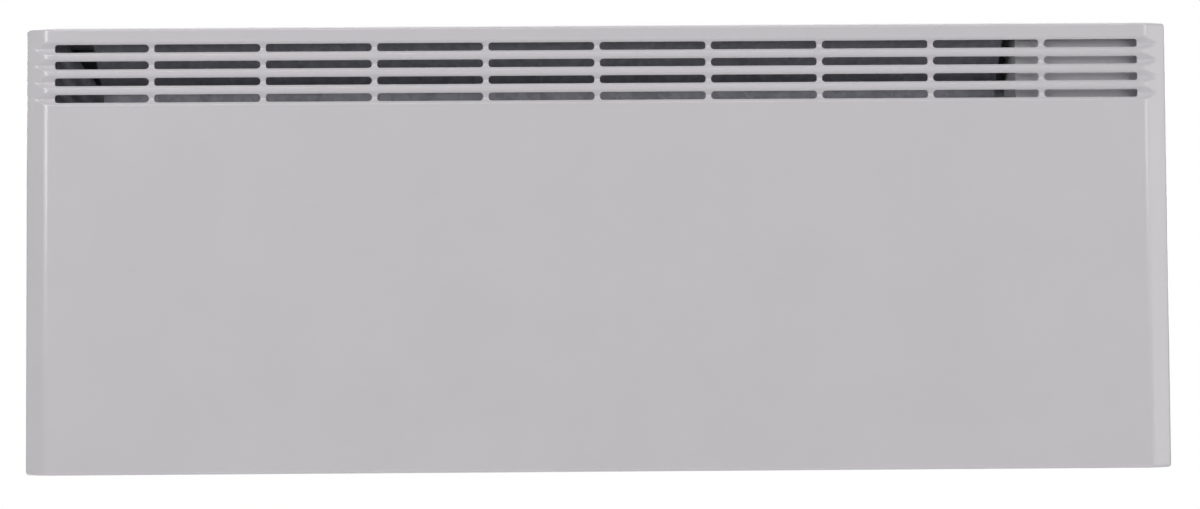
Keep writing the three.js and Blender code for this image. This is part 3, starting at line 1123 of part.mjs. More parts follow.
function elementLead() {
  const fromX = CUTOUT_X - CUTOUT_RADIUS - BLADE_LENGTH - GAP;
  const bladeY = SHIELD_FRONT_Y - GAP - CUTOUT_THICKNESS + BLADE_SHEET / 2;
  const lowZ = (CUTOUT_Z - CUTOUT_RADIUS + ELEMENT_Z + ELEMENT_HEIGHT / 2) / 2;
  const pinX = rodEnd(SIDES.right) + GAP + PIN_LENGTH + GAP;
  return lead([
    [fromX, bladeY, CUTOUT_Z], [fromX - 8, bladeY, CUTOUT_Z], [fromX - 12, bladeY, (lowZ + CUTOUT_Z) / 2],
    [fromX, bladeY, lowZ], [SHIELD_RIGHT, bladeY, lowZ], [pinX + 12, ELEMENT_Y, ELEMENT_Z + 14],
    [pinX + 10, ELEMENT_Y, ELEMENT_Z], [pinX, ELEMENT_Y, ELEMENT_Z],
  ]);
}

function neutralLead() {
  const [x, y, z] = blockPort(-1, -1);
  const pinX = rodEnd(SIDES.left) - GAP - PIN_LENGTH - GAP;
  const outX = SHIELD_LEFT - 16;
  const clips = Array.from({ length: CLIP_COUNT }, (_, i) => clipX(CLIP_COUNT - 1 - i));
  return lead([
    [x, y, z], [x, y, z - 10], [x - 10, (y + LEAD_Y) / 2, LEAD_Z + 12], [x - 26, LEAD_Y, LEAD_Z],
    [x - 40, LEAD_Y, LEAD_Z],
    ...clips.flatMap((at) => [[at + CLIP_WIDTH, LEAD_Y, LEAD_Z], [at - CLIP_WIDTH, LEAD_Y, LEAD_Z]]),
    [outX + 22, LEAD_Y, LEAD_Z], [outX, LEAD_Y, LEAD_Z + 22], [outX, LEAD_Y - 6, ELEMENT_Z - 24],
    [outX + 1, ELEMENT_Y, ELEMENT_Z - 4], [pinX - 3, ELEMENT_Y, ELEMENT_Z], [pinX, ELEMENT_Y, ELEMENT_Z],
  ]);
}

function earthLead() {
  const [x, y, z] = blockPort(-1, 1);
  const nutEdge = EARTH_Z + EARTH_NUT_RADIUS + GAP;
  const nutY = REAR_INNER_Y - GAP - EARTH_NUT / 2;
  return lead([
    [x, y, z], [x, y, z + 8], [(x + EARTH_X) / 2, y - 3, z + 16],
    [EARTH_X, nutY, nutEdge + 10], [EARTH_X, nutY, nutEdge],
  ]);
}

addPiece('terminal_block', CERAMIC, terminalBlock());
addPiece('cable_gland', DARK_PLASTIC, cableGland());
addPiece('earth_stud', ZINC_PLATED, earthStud());
addPiece('earth_nut', BRASS, earthNut());
addPiece('supply_lead', BROWN_INSULATION, supplyLead());
addPiece('switch_lead', BROWN_INSULATION, switchLead());
addPiece('heating_lead', BROWN_INSULATION, heatingLead());
addPiece('element_lead', BROWN_INSULATION, elementLead());
addPiece('neutral_lead', BLUE_INSULATION, neutralLead());
addPiece('earth_lead', EARTH_INSULATION, earthLead());
for (let i = 0; i < CLIP_COUNT; i += 1) addPiece(`lead_clip_${i + 1}`, GREY_PLASTIC, leadClip(clipX(i)));

export default heater;
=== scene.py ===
# %% [markdown]
# # A wall panel convector heater
# The heater is a shallow steel box that hangs on a rail on the wall. Cool air comes in through slots in its
# floor, passes a finned element and leaves through four rows of slots pressed into the front. The packed
# model gives every piece at its real place. This script dresses it: it models the folded front again as a
# smooth pressed sheet, and gives each piece the finish that it has on a real heater.

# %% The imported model
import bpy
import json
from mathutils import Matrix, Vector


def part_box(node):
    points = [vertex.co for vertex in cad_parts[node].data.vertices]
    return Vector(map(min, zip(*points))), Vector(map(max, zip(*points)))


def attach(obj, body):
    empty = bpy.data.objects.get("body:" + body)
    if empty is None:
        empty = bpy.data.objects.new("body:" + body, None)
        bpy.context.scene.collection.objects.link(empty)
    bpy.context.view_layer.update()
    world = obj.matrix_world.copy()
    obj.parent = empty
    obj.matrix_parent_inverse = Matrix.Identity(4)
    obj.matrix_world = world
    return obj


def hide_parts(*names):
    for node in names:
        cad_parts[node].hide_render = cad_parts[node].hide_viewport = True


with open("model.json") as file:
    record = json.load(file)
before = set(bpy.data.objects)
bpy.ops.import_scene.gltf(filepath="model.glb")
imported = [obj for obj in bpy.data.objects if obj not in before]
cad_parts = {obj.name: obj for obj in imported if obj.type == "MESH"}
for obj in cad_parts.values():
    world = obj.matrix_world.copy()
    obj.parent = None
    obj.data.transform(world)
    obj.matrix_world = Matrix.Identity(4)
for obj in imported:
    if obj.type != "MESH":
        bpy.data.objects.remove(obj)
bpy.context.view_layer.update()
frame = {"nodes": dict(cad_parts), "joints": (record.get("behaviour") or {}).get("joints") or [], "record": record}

# %% Modules and the unit
import json
import math

import bmesh
import bpy
import numpy as np
from mathutils import Matrix, Vector

MM = 0.001
nodes = frame["nodes"]
panel_low, panel_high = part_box("front_panel")
print("casing, mm:", [round(size / MM, 1) for size in panel_high - panel_low])

# %% [markdown]
# ## The camera
# The heater is photographed almost square on, from a little below its middle, with the camera turned up by
# under two degrees. A long lens some way off keeps its edges nearly parallel. The angles are small, but each
# one shows: they make the top edge a little shorter than the bottom one and tip the whole panel slightly.

# %% Camera
CAMERA_PLACE = Vector((-0.0105, -1.8, -0.1655))
CAMERA_PAN = math.radians(-0.400)
CAMERA_TILT = math.radians(1.820)
CAMERA_ROLL = math.radians(0.385)
LENS_MM = 57.52
SENSOR_MM = 36.0

camera_data = bpy.data.cameras.new("camera")
camera_data.lens = LENS_MM
camera_data.sensor_width = SENSOR_MM
camera = bpy.data.objects.new("camera", camera_data)
turn = (
    Matrix.Rotation(CAMERA_PAN, 4, "Z")
    @ Matrix.Rotation(CAMERA_TILT, 4, "X")
    @ Matrix.Rotation(CAMERA_ROLL, 4, "Y")
    @ Matrix.Rotation(math.pi / 2, 4, "X")
)
camera.matrix_world = Matrix.Translation(CAMERA_PLACE) @ turn
bpy.context.scene.collection.objects.link(camera)
bpy.context.scene.camera = camera
print("camera:", tuple(round(v, 4) for v in CAMERA_PLACE), "lens", LENS_MM)

# %% [markdown]
# ## Colours and nodes
# Colours are written as the hex values that a paint chart gives, and one function turns them to the linear
# values that shaders work in. A second function adds a node with its settings and links. Every finish below
# ends alike: one pattern shades the colour between two tones, one varies the roughness and one raises the
# relief. A third function joins the three to the shader, so that each finish reads as a short list.

# %% Helpers for colours and nodes
def colour(hex_value):
    channels = [int(hex_value[i:i + 2], 16) / 255 for i in (1, 3, 5)]
    linear = [c / 12.92 if c <= 0.04045 else ((c + 0.055) / 1.055) ** 2.4 for c in channels]
    return (*linear, 1.0)


def add_node(tree, kind, inputs=None, **settings):
    """Adds a node; an input is a value, or an output socket of another node to link from."""
    node = tree.nodes.new(kind)
    for name, value in settings.items():
        setattr(node, name, value)
    for name, value in (inputs or {}).items():
        if isinstance(value, bpy.types.NodeSocket):
            tree.links.new(value, node.inputs[name])
        else:
            node.inputs[name].default_value = value
    return node


print("white is", colour("#ffffff"))

# %% Helpers for materials
MIX_DARK, MIX_LIGHT, MIX_RESULT = 6, 7, 2  # the sockets of a Mix node that hold colours


def new_material(name, **surface):
    """A material with one Principled shader whose even values sit on its own sockets."""
    material = bpy.data.materials.new(name)
    material.use_nodes = True
    tree = material.node_tree
    shader = tree.nodes["Principled BSDF"]
    for socket, value in surface.items():
        shader.inputs[socket.replace("_", " ")].default_value = value
    place = add_node(tree, "ShaderNodeTexCoord").outputs["Object"]
    return material, tree, shader, place


def dress(tree, shader, tint, rough, relief):
    """Joins three patterns to a shader.

    tint and rough are (pattern, from, to), and relief is (pattern, depth, strength).
    """
    ends = {
        "Base Color": add_node(tree, "ShaderNodeMix", {
            "Factor": tint[0], MIX_DARK: colour(tint[1]), MIX_LIGHT: colour(tint[2]),
        }, data_type="RGBA").outputs[MIX_RESULT],
        "Roughness": add_node(tree, "ShaderNodeMapRange", {
            "Value": rough[0], "To Min": rough[1], "To Max": rough[2],
        }).outputs["Result"],
        "Normal": add_node(tree, "ShaderNodeBump", {
            "Height": relief[0], "Distance": relief[1], "Strength": relief[2],
        }).outputs["Normal"],
    }
    for socket, end in ends.items():
        tree.links.new(end, shader.inputs[socket])


print("a finish has a colour, a roughness and a relief")

# %% [markdown]
# ## Finishes
# Stoved powder coat is a dry paint melted on the steel. It flows out almost flat but keeps a faint ripple,
# called orange peel, about two millimetres across, and a satin gloss that is soft at every angle. Its colour
# is even but for slow clouds, a hand's width across, that keep a large front from looking drawn.

# %% Powder coat
ORANGE_PEEL = 2 * MM
CLOUDS = 90 * MM


def powder_coat():
    material, tree, shader, place = new_material("powder_coat_light_grey", IOR=1.5)
    peel = add_node(tree, "ShaderNodeTexNoise", {"Vector": place, "Scale": 1 / ORANGE_PEEL, "Detail": 2.0})
    cloud = add_node(tree, "ShaderNodeTexNoise", {"Vector": place, "Scale": 1 / CLOUDS, "Detail": 3.0})
    ripple = peel.outputs["Fac"]
    tint = (cloud.outputs["Fac"], "#d1ced2", "#d7d4d8")
    dress(tree, shader, tint, (ripple, 0.19, 0.25), (ripple, 0.02 * MM, 0.35))
    return material


print("orange peel, mm:", ORANGE_PEEL / MM, "clouds, mm:", CLOUDS / MM)

# %% [markdown]
# Hot-dip galvanising leaves zinc crystals called spangle, flat patches of a few millimetres up to a
# centimetre that catch the light each in its own way. A Voronoi pattern gives every patch one grey and one
# roughness. Aluminised sheet has a finer and duller spangle and shines less.

# %% Galvanised and aluminised sheet
ROLLED_GRAIN = 1.5 * MM
SPANGLE_SPREAD = 0.16  # how much rougher the dullest patch is than the brightest


def galvanised_sheet(name, dark, light, spangle_mm, smoothest=0.42, metallic=0.9):
    material, tree, shader, place = new_material(name, Metallic=metallic)
    cells = add_node(tree, "ShaderNodeTexVoronoi", {"Vector": place, "Scale": 1 / (spangle_mm * MM)})
    patch = add_node(tree, "ShaderNodeSeparateColor", {"Color": cells.outputs["Color"]}).outputs
    grain = add_node(tree, "ShaderNodeTexNoise", {"Vector": place, "Scale": 1 / ROLLED_GRAIN, "Detail": 3.0})
    rough = (patch["Green"], smoothest, smoothest + SPANGLE_SPREAD)
    dress(tree, shader, (patch["Red"], dark, light), rough, (grain.outputs["Fac"], 0.02 * MM, 0.3))
    return material


print("grain of rolled sheet, mm:", ROLLED_GRAIN / MM)

# %% [markdown]
# The other metals, the plastics and the ceramic have an even skin with a fine grain, left by plating, by a
# die or by the spark-eroded wall of a mould. Much of that is a few tenths of a millimetre. It is drawn at
# 0.8 mm or more here, because anything finer would vanish in the picture.

# %% Metals, plastics, ceramic and insulation
METAL = {"detail": 4.0, "depth_mm": 0.01, "strength": 0.3, "Metallic": 1.0}
PLASTIC = {"detail": 2.0, "depth_mm": 0.015, "strength": 0.4, "IOR": 1.49}
POLISHED = PLASTIC | {"depth_mm": 0.005}
EXTRUDED = METAL | {"stretch": (0.02, 1, 1)}  # drawn out along X, as the die leaves its lines
RUBBER = PLASTIC | {"rough": (0.45, 0.57), "grain_mm": 1.2}


def grained(name, dark, light, rough, grain_mm, detail, depth_mm, strength, stretch=None, **surface):
    material, tree, shader, place = new_material(name, **surface)
    if stretch:
        place = add_node(tree, "ShaderNodeMapping", {"Vector": place, "Scale": stretch}).outputs["Vector"]
    grain = add_node(tree, "ShaderNodeTexNoise", {
        "Vector": place, "Scale": 1 / (grain_mm * MM), "Detail": detail,
    }).outputs["Fac"]
    dress(tree, shader, (grain, dark, light), (grain, *rough), (grain, depth_mm * MM, strength))
    return material


finishes = {
    "painted_steel": powder_coat(),
    "galvanised_steel": galvanised_sheet("galvanised_steel_sheet", "#8a8d91", "#a4a7ab", 9),
    "shield_steel": galvanised_sheet("aluminised_steel_sheet", "#94949d", "#a6a6ae", 5, 0.6, 0.2),
    # Plated in a bath: a thin, even, bluish shine.
    "zinc_plate": grained("bright_zinc_plating", "#a9acb0", "#c2c5c9", (0.26, 0.40), 4, **METAL),
    # Pushed through a die: fine bright lines along the fins.
    "aluminium": grained("extruded_aluminium", "#a5a7a9", "#bfc1c3", (0.32, 0.46), 0.8, **EXTRUDED),
    # Annealed in air: a dark oxide with hardly any shine.
    "blackened_steel": grained("oxidised_steel_sheath", "#2c2c2e", "#454547", (0.49, 0.63), 2, **METAL),
    # Pressed and fired without a glaze: chalky and slightly mottled.
    "ceramic": grained("unglazed_steatite", "#ddd5c3", "#ebe4d5", (0.57, 0.69), 1.5, **PLASTIC),
    # Moulded in a spark-eroded tool: an even, soft half-shine.
    "light_plastic": grained("moulded_abs_light_grey", "#d8d6da", "#dedce0", (0.40, 0.52), 0.8, **PLASTIC),
    "dark_plastic": grained("moulded_nylon_black", "#232427", "#2d2e31", (0.40, 0.52), 0.8, **PLASTIC),
    "grey_plastic": grained("moulded_nylon_grey", "#55565a", "#616266", (0.45, 0.57), 0.8, **PLASTIC),
    # Moulded in a polished tool: a glossy lens. It is drawn opaque, as no lamp is modelled behind it.
    "lens": grained("clear_amber_polycarbonate", "#d06a1e", "#e08030", (0.13, 0.25), 3, **POLISHED),
    # Turned from bar: a warm shine.
    "brass": grained("plain_brass", "#b08f45", "#c4a35a", (0.26, 0.40), 2, **METAL),
    # Extruded rubber over the wire: round, soft and slightly matt.
    "brown_insulation": grained("silicone_insulation_brown", "#643a1f", "#744527", **RUBBER),
    "blue_insulation": grained("silicone_insulation_blue", "#27509a", "#315da8", **RUBBER),
    "earth_insulation": grained("silicone_insulation_green", "#568f26", "#679f34", **RUBBER),
}
slot_of = {part["node"]: part["material_slot"] for part in frame["record"]["subparts"]}
for name, node in nodes.items():
    node.data.materials.clear()
    node.data.materials.append(finishes[slot_of[name]])
print("finishes:", len(finishes), "on", len(nodes), "nodes")

# %% [markdown]
# ## The front panel
# On the real heater this is one sheet of steel: the grooves are pressed first, the slots are punched in their
# floors, and then all four edges are folded back. So the surface is drawn as a press would leave it. The flat
# front falls back along a slanted flank at each end, and a groove is simply wherever the groove's own shape
# lies deeper than that. Taking the deeper of the two, with a small blend, gives soft pressed edges, and lets
# each groove run out in a point over the falling flank.

# %% Sizes of the pressed front
SHEET = 0.8 * MM
FLANK_WIDTH = 19.5 * MM
FLANK_DROP = 7.4 * MM
FLANK_SLOPE = FLANK_DROP / FLANK_WIDTH
BROW_BLEND = 1.67 * MM  # gives the bend of about 24 mm between front and flank
FOLD_RADIUS = 3.0 * MM
BACK_FOLD_RADIUS = 1.5 * MM
LIP_REACH = 11.0 * MM
ROW_COUNT = 4
ROW_PITCH = 15.0 * MM
FIRST_ROW = 18.5 * MM
SLOT_SIZE = 7.2 * MM
SLOT_CORNER = 2.8 * MM
SLOT_MARGIN = 26.5 * MM
WEB_PITCH = 100.0 * MM
WEB_WIDTH = 4.8 * MM
WEBS = range(-4, 5)
GROOVE_DEPTH = 4.0 * MM
GROOVE_HALF_FLOOR = 0.7 * MM
GROOVE_HALF_MOUTH = 5.7 * MM
PRESS_BLEND = 0.9 * MM

left_x, front_y, bottom_z = panel_low
right_x, lip_y, top_z = panel_high
row_zs = [top_z - FIRST_ROW - row * ROW_PITCH for row in range(ROW_COUNT)]
print("rows at z, mm:", [round(z / MM, 1) for z in row_zs])

# %% The surface of the front as a depth over (x, z)
def smooth_max(a, b, blend):
    overlap = np.clip(blend - np.abs(a - b), 0, None)
    return np.maximum(a, b) + overlap * overlap / (4 * blend)


def front_surface(x, z):
    fall = FLANK_SLOPE * (np.abs(x) - (right_x - FLANK_WIDTH))
    plan = smooth_max(np.zeros_like(fall), fall, BROW_BLEND)
    away = np.min([np.abs(z - row) for row in row_zs], axis=0)
    steep = GROOVE_DEPTH / (GROOVE_HALF_MOUTH - GROOVE_HALF_FLOOR)
    flanks = steep * (GROOVE_HALF_MOUTH - away)
    groove = -smooth_max(-flanks, np.full_like(flanks, -GROOVE_DEPTH), PRESS_BLEND)
    return front_y + smooth_max(plan, groove, PRESS_BLEND)


depths = front_surface(np.array([0.0, right_x]), np.array([row_zs[0], bottom_z]))
print("groove floor and side edge, mm:", np.round(depths / MM, 2))

# %% [markdown]
# ## Slots without a boolean
# A boolean cut leaves ragged triangles round each slot. Here the grid's own lines pass through points of
# every rounded end, so most cells are kept or dropped whole, and a cell that an edge still crosses is trimmed
# along it. A signed distance says where the edge runs: it is negative inside a slot.

# %% Helpers for slots
ARC_STEPS = 3
FAR = 1.0  # stands for no slot anywhere near


def arc_offsets(size, radius, steps=ARC_STEPS):
    """Places of the points of both rounded ends, from the middle."""
    angles = [math.pi / 2 * k / steps for k in range(steps + 1)]
    reach = [size / 2 - radius + radius * math.sin(angle) for angle in angles]
    return [sign * offset for sign in (-1, 1) for offset in reach]


def slot_spans():
    """Middle and length of each slot between two webs."""
    end = right_x - SLOT_MARGIN
    edges = [-end - WEB_WIDTH / 2] + [web * WEB_PITCH for web in WEBS] + [end + WEB_WIDTH / 2]
    return [((a + b) / 2, b - a - WEB_WIDTH) for a, b in zip(edges, edges[1:])]


def distance_into(slots, u, v):
    """Distance from the nearest slot's edge, negative inside; slots are (u, v, length, height, radius)."""
    nearest = np.full(np.shape(u), FAR)
    for slot_u, slot_v, length, height, radius in slots:
        beyond_u = np.abs(u - slot_u) - (length / 2 - radius)
        beyond_v = np.abs(v - slot_v) - (height / 2 - radius)
        outside = np.hypot(np.maximum(beyond_u, 0), np.maximum(beyond_v, 0))
        inside = np.minimum(np.maximum(beyond_u, beyond_v), 0)
        nearest = np.minimum(nearest, outside + inside - radius)
    return nearest


spans = slot_spans()
print("slots in a row:", len(spans), "the first", round(spans[0][1] / MM, 1), "mm long")

# %% Outlets, inlets and the opening for the controls
INLET_ROWS = 3
INLET_FIRST = 14.0 * MM
INLET_PITCH = 14.0 * MM
INLET_SIZE = 7.0 * MM
INLET_CORNER = 2.8 * MM
PLATE_MARGIN = 3.5 * MM
OPENING_CORNER = 8.0 * MM

outlets = [(x, z, length, SLOT_SIZE, SLOT_CORNER) for z in row_zs for x, length in spans]
inlet_ys = [front_y + INLET_FIRST + row * INLET_PITCH for row in range(INLET_ROWS)]
inlets = [(x, y, length - INLET_SIZE, INLET_SIZE, INLET_CORNER) for y in inlet_ys for x, length in spans]
plate_low, plate_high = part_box("control_fascia")
plate_size = plate_high - plate_low
_, control_y, control_z = (plate_low + plate_high) / 2
control_width, control_height = plate_size.y - 2 * PLATE_MARGIN, plate_size.z - 2 * PLATE_MARGIN
opening = (control_z, control_y, control_height, control_width, OPENING_CORNER)
print("outlets:", len(outlets), "inlets:", len(inlets), "opening, mm:", [round(v / MM, 1) for v in opening])

# %% Grid lines of the front
SIDE_FOLD_REACH = 1.93 * MM
CORNER_STEPS = 4
OPENING_ARC_STEPS = 6
BROW_OFFSETS_MM = (-8, -5.5, -4.4, -3, -1.5, 0, 1.5, 3, 4.4, 6, 8, 10, 12, 14)
MOUTH_OFFSETS_MM = (0.0, 4.3, 4.9, 5.3, 5.7, 6.1, 6.6, 7.3)
PLAIN_PITCH = 40 * MM
PLAIN_BELOW_ROWS = 10 * MM
CLOSEST_LINES = 0.02 * MM


def grid_lines(values):
    """The values in order, without those that would lie on their neighbour."""
    lines = []
    for value in sorted(values):
        if not lines or value - lines[-1] > CLOSEST_LINES:
            lines.append(value)
    return np.array(lines)


fold_x = right_x - SIDE_FOLD_REACH
corner_x = right_x - FOLD_RADIUS
xs = [sign * (right_x - FLANK_WIDTH + offset * MM) for sign in (-1, 1) for offset in BROW_OFFSETS_MM]
xs += [x + offset for x, length in spans for offset in arc_offsets(length, SLOT_CORNER)]
xs += [x + offset for x, length in spans for offset in arc_offsets(length - INLET_SIZE, INLET_CORNER)]
xs += [x for x, _ in spans] + [web * WEB_PITCH for web in WEBS]
xs += [sign * x for sign in (-1, 1) for x in np.linspace(corner_x, fold_x, CORNER_STEPS + 1)]
columns = grid_lines(xs)

zs = [z + offset for z in row_zs for offset in arc_offsets(SLOT_SIZE, SLOT_CORNER)]
zs += [z + sign * offset * MM for z in row_zs for offset in MOUTH_OFFSETS_MM for sign in (-1, 1)]
zs += [control_z + offset for offset in arc_offsets(control_height, OPENING_CORNER, OPENING_ARC_STEPS)]
zs += list(np.arange(bottom_z + FOLD_RADIUS, min(row_zs) - PLAIN_BELOW_ROWS, PLAIN_PITCH))
zs += [top_z - FOLD_RADIUS]
rows = grid_lines(zs)
print("front grid:", len(columns), "by", len(rows))

# %% [markdown]
# ## From the grid to a folded sheet
# The edge of the grid is a closed loop, and the folded walls are the same loop carried outwards round the
# fold, back along the walls and in again behind as the lip that the rear panel is screwed to.

# %% The grid's edge, and the outline that it folds to
TINY = 1e-9
grid_x, grid_z = np.meshgrid(columns, rows, indexing="ij")
front_points = np.stack([grid_x, front_surface(grid_x, grid_z), grid_z], axis=-1)
wide, high = len(columns), len(rows)
edge_cells = [(i, 0) for i in range(wide - 1)] + [(wide - 1, j) for j in range(high - 1)]
edge_cells += [(i, high - 1) for i in range(wide - 1, 0, -1)] + [(0, j) for j in range(high - 1, 0, -1)]


def silhouette(x, z):
    """The point of the casing's outline that a point of the grid's edge folds to."""
    lower, upper = bottom_z + FOLD_RADIUS, top_z - FOLD_RADIUS
    if lower + TINY < z < upper - TINY:
        return math.copysign(right_x, x), z
    centre_z, toward = (lower, -1) if z < 0 else (upper, 1)
    if abs(x) <= corner_x:
        return x, centre_z + toward * FOLD_RADIUS
    angle = math.pi / 2 * (1 - (abs(x) - corner_x) / (fold_x - corner_x))
    along = corner_x + FOLD_RADIUS * math.cos(angle)
    return math.copysign(along, x), centre_z + toward * FOLD_RADIUS * math.sin(angle)


start = np.array([front_points[cell] for cell in edge_cells])
outline_xz = np.array([silhouette(x, z) for x, _, z in start])
print("points round the edge:", len(start))

# %% Loops of the folds, walls and lips
FOLD_STEPS = 5
BACK_FOLD_STEPS = 3
step_out = outline_xz - start[:, [0, 2]]
ahead = np.hypot(step_out[:, 0], step_out[:, 1])
flank_share = np.where(np.abs(start[:, 0]) > right_x - FLANK_WIDTH, FLANK_SLOPE, 0)
rise = flank_share * np.abs(step_out[:, 0])
tangent = np.hypot(ahead, rise)
weight = np.cos((math.pi / 2 - np.arctan2(rise, ahead)) / 2)


def fold_loop(t):
    """A point of the fold's arc for every point of the edge, as a weighted quadratic curve."""
    bend = np.stack([outline_xz[:, 0], start[:, 1] + rise, outline_xz[:, 1]], axis=-1)
    end = bend + np.stack([np.zeros_like(tangent), tangent, np.zeros_like(tangent)], axis=-1)
    parts = [(1 - t) ** 2 * np.ones_like(weight), 2 * t * (1 - t) * weight, t * t * np.ones_like(weight)]
    return sum(part[:, None] * point for part, point in zip(parts, (start, bend, end))) / sum(parts)[:, None]


def wall_loop(y, inset=0.0):
    inner_x = np.clip(outline_xz[:, 0], left_x + inset, right_x - inset)
    inner_z = np.clip(outline_xz[:, 1], bottom_z + inset, top_z - inset)
    return np.stack([inner_x, np.full_like(inner_x, y), inner_z], axis=-1)


wall_end = lip_y - BACK_FOLD_RADIUS
wall_ys = [y + offset for y in inlet_ys for offset in arc_offsets(INLET_SIZE, INLET_CORNER)]
wall_ys += [control_y + offset for offset in arc_offsets(control_width, OPENING_CORNER, OPENING_ARC_STEPS)]
loops = [fold_loop(step / FOLD_STEPS) for step in range(1, FOLD_STEPS + 1)]
loops += [wall_loop(y) for y in grid_lines([y for y in wall_ys if y <= wall_end] + [wall_end])]
for step in range(1, BACK_FOLD_STEPS + 1):
    angle = math.pi / 2 * step / BACK_FOLD_STEPS
    back = wall_end + BACK_FOLD_RADIUS * math.sin(angle)
    loops.append(wall_loop(back, BACK_FOLD_RADIUS * (1 - math.cos(angle))))
loops.append(wall_loop(lip_y, LIP_REACH))
print("loops behind the front:", len(loops))

# %% Cells kept, dropped or trimmed
ON_EDGE = 0.03 * MM  # a corner this close to a slot's edge counts as lying on it
trim_points = []
first_trim = wide * high + len(loops) * len(edge_cells)


def cell_faces(index, grid, at_corner, at_middle):
    """Faces of a grid of points with their numbers; a cell that a slot's edge crosses is trimmed along it."""
    faces = []
    for i in range(index.shape[0] - 1):
        for j in range(index.shape[1] - 1):
            corners = [(i, j), (i + 1, j), (i + 1, j + 1), (i, j + 1)]
            if at_middle[i, j] < 0 and max(at_corner[c] for c in corners) <= ON_EDGE:
                continue
            face = []
            for here, after in zip(corners, corners[1:] + corners[:1]):
                a, b = at_corner[here], at_corner[after]
                if a >= -ON_EDGE:
                    face.append(int(index[here]))
                if min(a, b) < -ON_EDGE and max(a, b) > ON_EDGE:
                    face.append(first_trim + len(trim_points))
                    trim_points.append(grid[here] + (grid[after] - grid[here]) * a / (a - b))
            faces.append(face)
    return faces


def middles(grid):
    return (grid[:-1, :-1] + grid[1:, :-1] + grid[1:, 1:] + grid[:-1, 1:]) / 4


front_index = np.arange(wide * high).reshape(wide, high)
corner_distance = distance_into(outlets, grid_x, grid_z)
middle_distance = distance_into(outlets, middles(grid_x), middles(grid_z))
faces = cell_faces(front_index, front_points, corner_distance, middle_distance)
print("faces of the front:", len(faces))

# %% Cells of the folds and walls
ON_WALL = 0.01 * MM
loop_numbers = wide * high + np.arange(len(loops) * len(edge_cells)).reshape(len(loops), -1)
ring_numbers = np.vstack([[front_index[cell] for cell in edge_cells], loop_numbers])
ring_numbers = np.hstack([ring_numbers, ring_numbers[:, :1]])
ring_points = np.stack([start, *loops])
ring_points = np.concatenate([ring_points, ring_points[:, :1]], axis=1)


def wall_distance(grid):
    x, y, z = grid[..., 0], grid[..., 1], grid[..., 2]
    floor = np.where(z < bottom_z + ON_WALL, distance_into(inlets, x, y), FAR)
    side = np.where(x > right_x - ON_WALL, distance_into([opening], z, y), FAR)
    return np.minimum(floor, side)


corner_distance, middle_distance = wall_distance(ring_points), wall_distance(middles(ring_points))
faces += cell_faces(ring_numbers, ring_points, corner_distance, middle_distance)
points = np.concatenate([front_points.reshape(-1, 3), *loops, trim_points])
print("faces of the sheet's outer side:", len(faces), "with", len(trim_points), "trimmed corners")

# %% [markdown]
# ## Pieces
# Every piece is made in the same few steps, so each step is a function. A mesh's doubled points are joined,
# modifiers such as Bevel are turned into plain mesh, and the shading is smoothed up to an angle. Weighted
# normals let the large faces lead, so that a flat sheet stays flat up to its rounded edge.

# %% Helpers that make a mesh
JOIN_DISTANCE = 0.005 * MM
body_of = {
    node: body for body, members in frame["record"]["behaviour"]["bodies"].items() for node in members
}


def middle_of(node):
    return sum(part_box(node), Vector()) / 2


def opened(mesh):
    """An editable copy of a mesh, with its doubled points joined."""
    work = bmesh.new()
    work.from_mesh(mesh)
    bmesh.ops.remove_doubles(work, verts=work.verts, dist=JOIN_DISTANCE)
    return work


def stored(work, mesh):
    work.to_mesh(mesh)
    work.free()
    return mesh


def in_scene(name, mesh):
    piece = bpy.data.objects.new(name, mesh)
    bpy.context.scene.collection.objects.link(piece)
    return piece


def new_piece(name, verts, polygons, slot, outward=False):
    """A piece from points and faces; the faces are turned outwards where that is asked for."""
    mesh = bpy.data.meshes.new(name)
    mesh.from_pydata([tuple(v) for v in verts], [], polygons)
    work = opened(mesh)
    bmesh.ops.delete(work, geom=[v for v in work.verts if not v.link_faces], context="VERTS")
    if outward:
        bmesh.ops.recalc_face_normals(work, faces=work.faces)
    stored(work, mesh).materials.append(finishes[slot])
    return in_scene(name, mesh)


print("bodies of", len(body_of), "nodes are known")

# %% Helpers that finish a piece
def applied(piece):
    """Turns a piece with its modifiers into a plain mesh."""
    bpy.context.view_layer.update()
    mesh = bpy.data.meshes.new_from_object(piece.evaluated_get(bpy.context.evaluated_depsgraph_get()))
    piece.modifiers.clear()
    piece.data = mesh
    return mesh


def settle(piece, sharp_deg=35):
    """Applies a piece's modifiers and shades it smooth up to an angle, with its large faces flat."""
    mesh = applied(piece)
    if "custom_normal" in mesh.attributes:
        mesh.attributes.remove(mesh.attributes["custom_normal"])
    mesh.shade_smooth()
    mesh.set_sharp_from_angle(angle=math.radians(sharp_deg))
    weighting = piece.modifiers.new("normals", "WEIGHTED_NORMAL")
    weighting.mode = "FACE_AREA"
    weighting.weight = 100
    weighting.keep_sharp = True
    applied(piece)
    return piece


def rounded_edges(piece, width, sharp_deg=30, steps=2):
    bevel = piece.modifiers.new("edges", "BEVEL")
    bevel.width = width
    bevel.segments = steps
    bevel.limit_method = "ANGLE"
    bevel.angle_limit = math.radians(sharp_deg)
    return piece


def stands_for(piece, *replaced, slot=None, body=None):
    """The piece takes the place of solids and rides where they ride."""
    if replaced:
        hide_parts(*replaced)
    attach(piece, body or body_of[replaced[0]])
    print(piece.name, len(piece.data.polygons), "faces")


print("points within", JOIN_DISTANCE / MM, "mm are one")

# %% [markdown]
# A mesh with no thickness looks like paper at every slot. Solidify grows the folded sheet inwards by the
# steel's gauge and closes the edges, and the result is kept as a plain mesh, because the modifier has done
# its work.

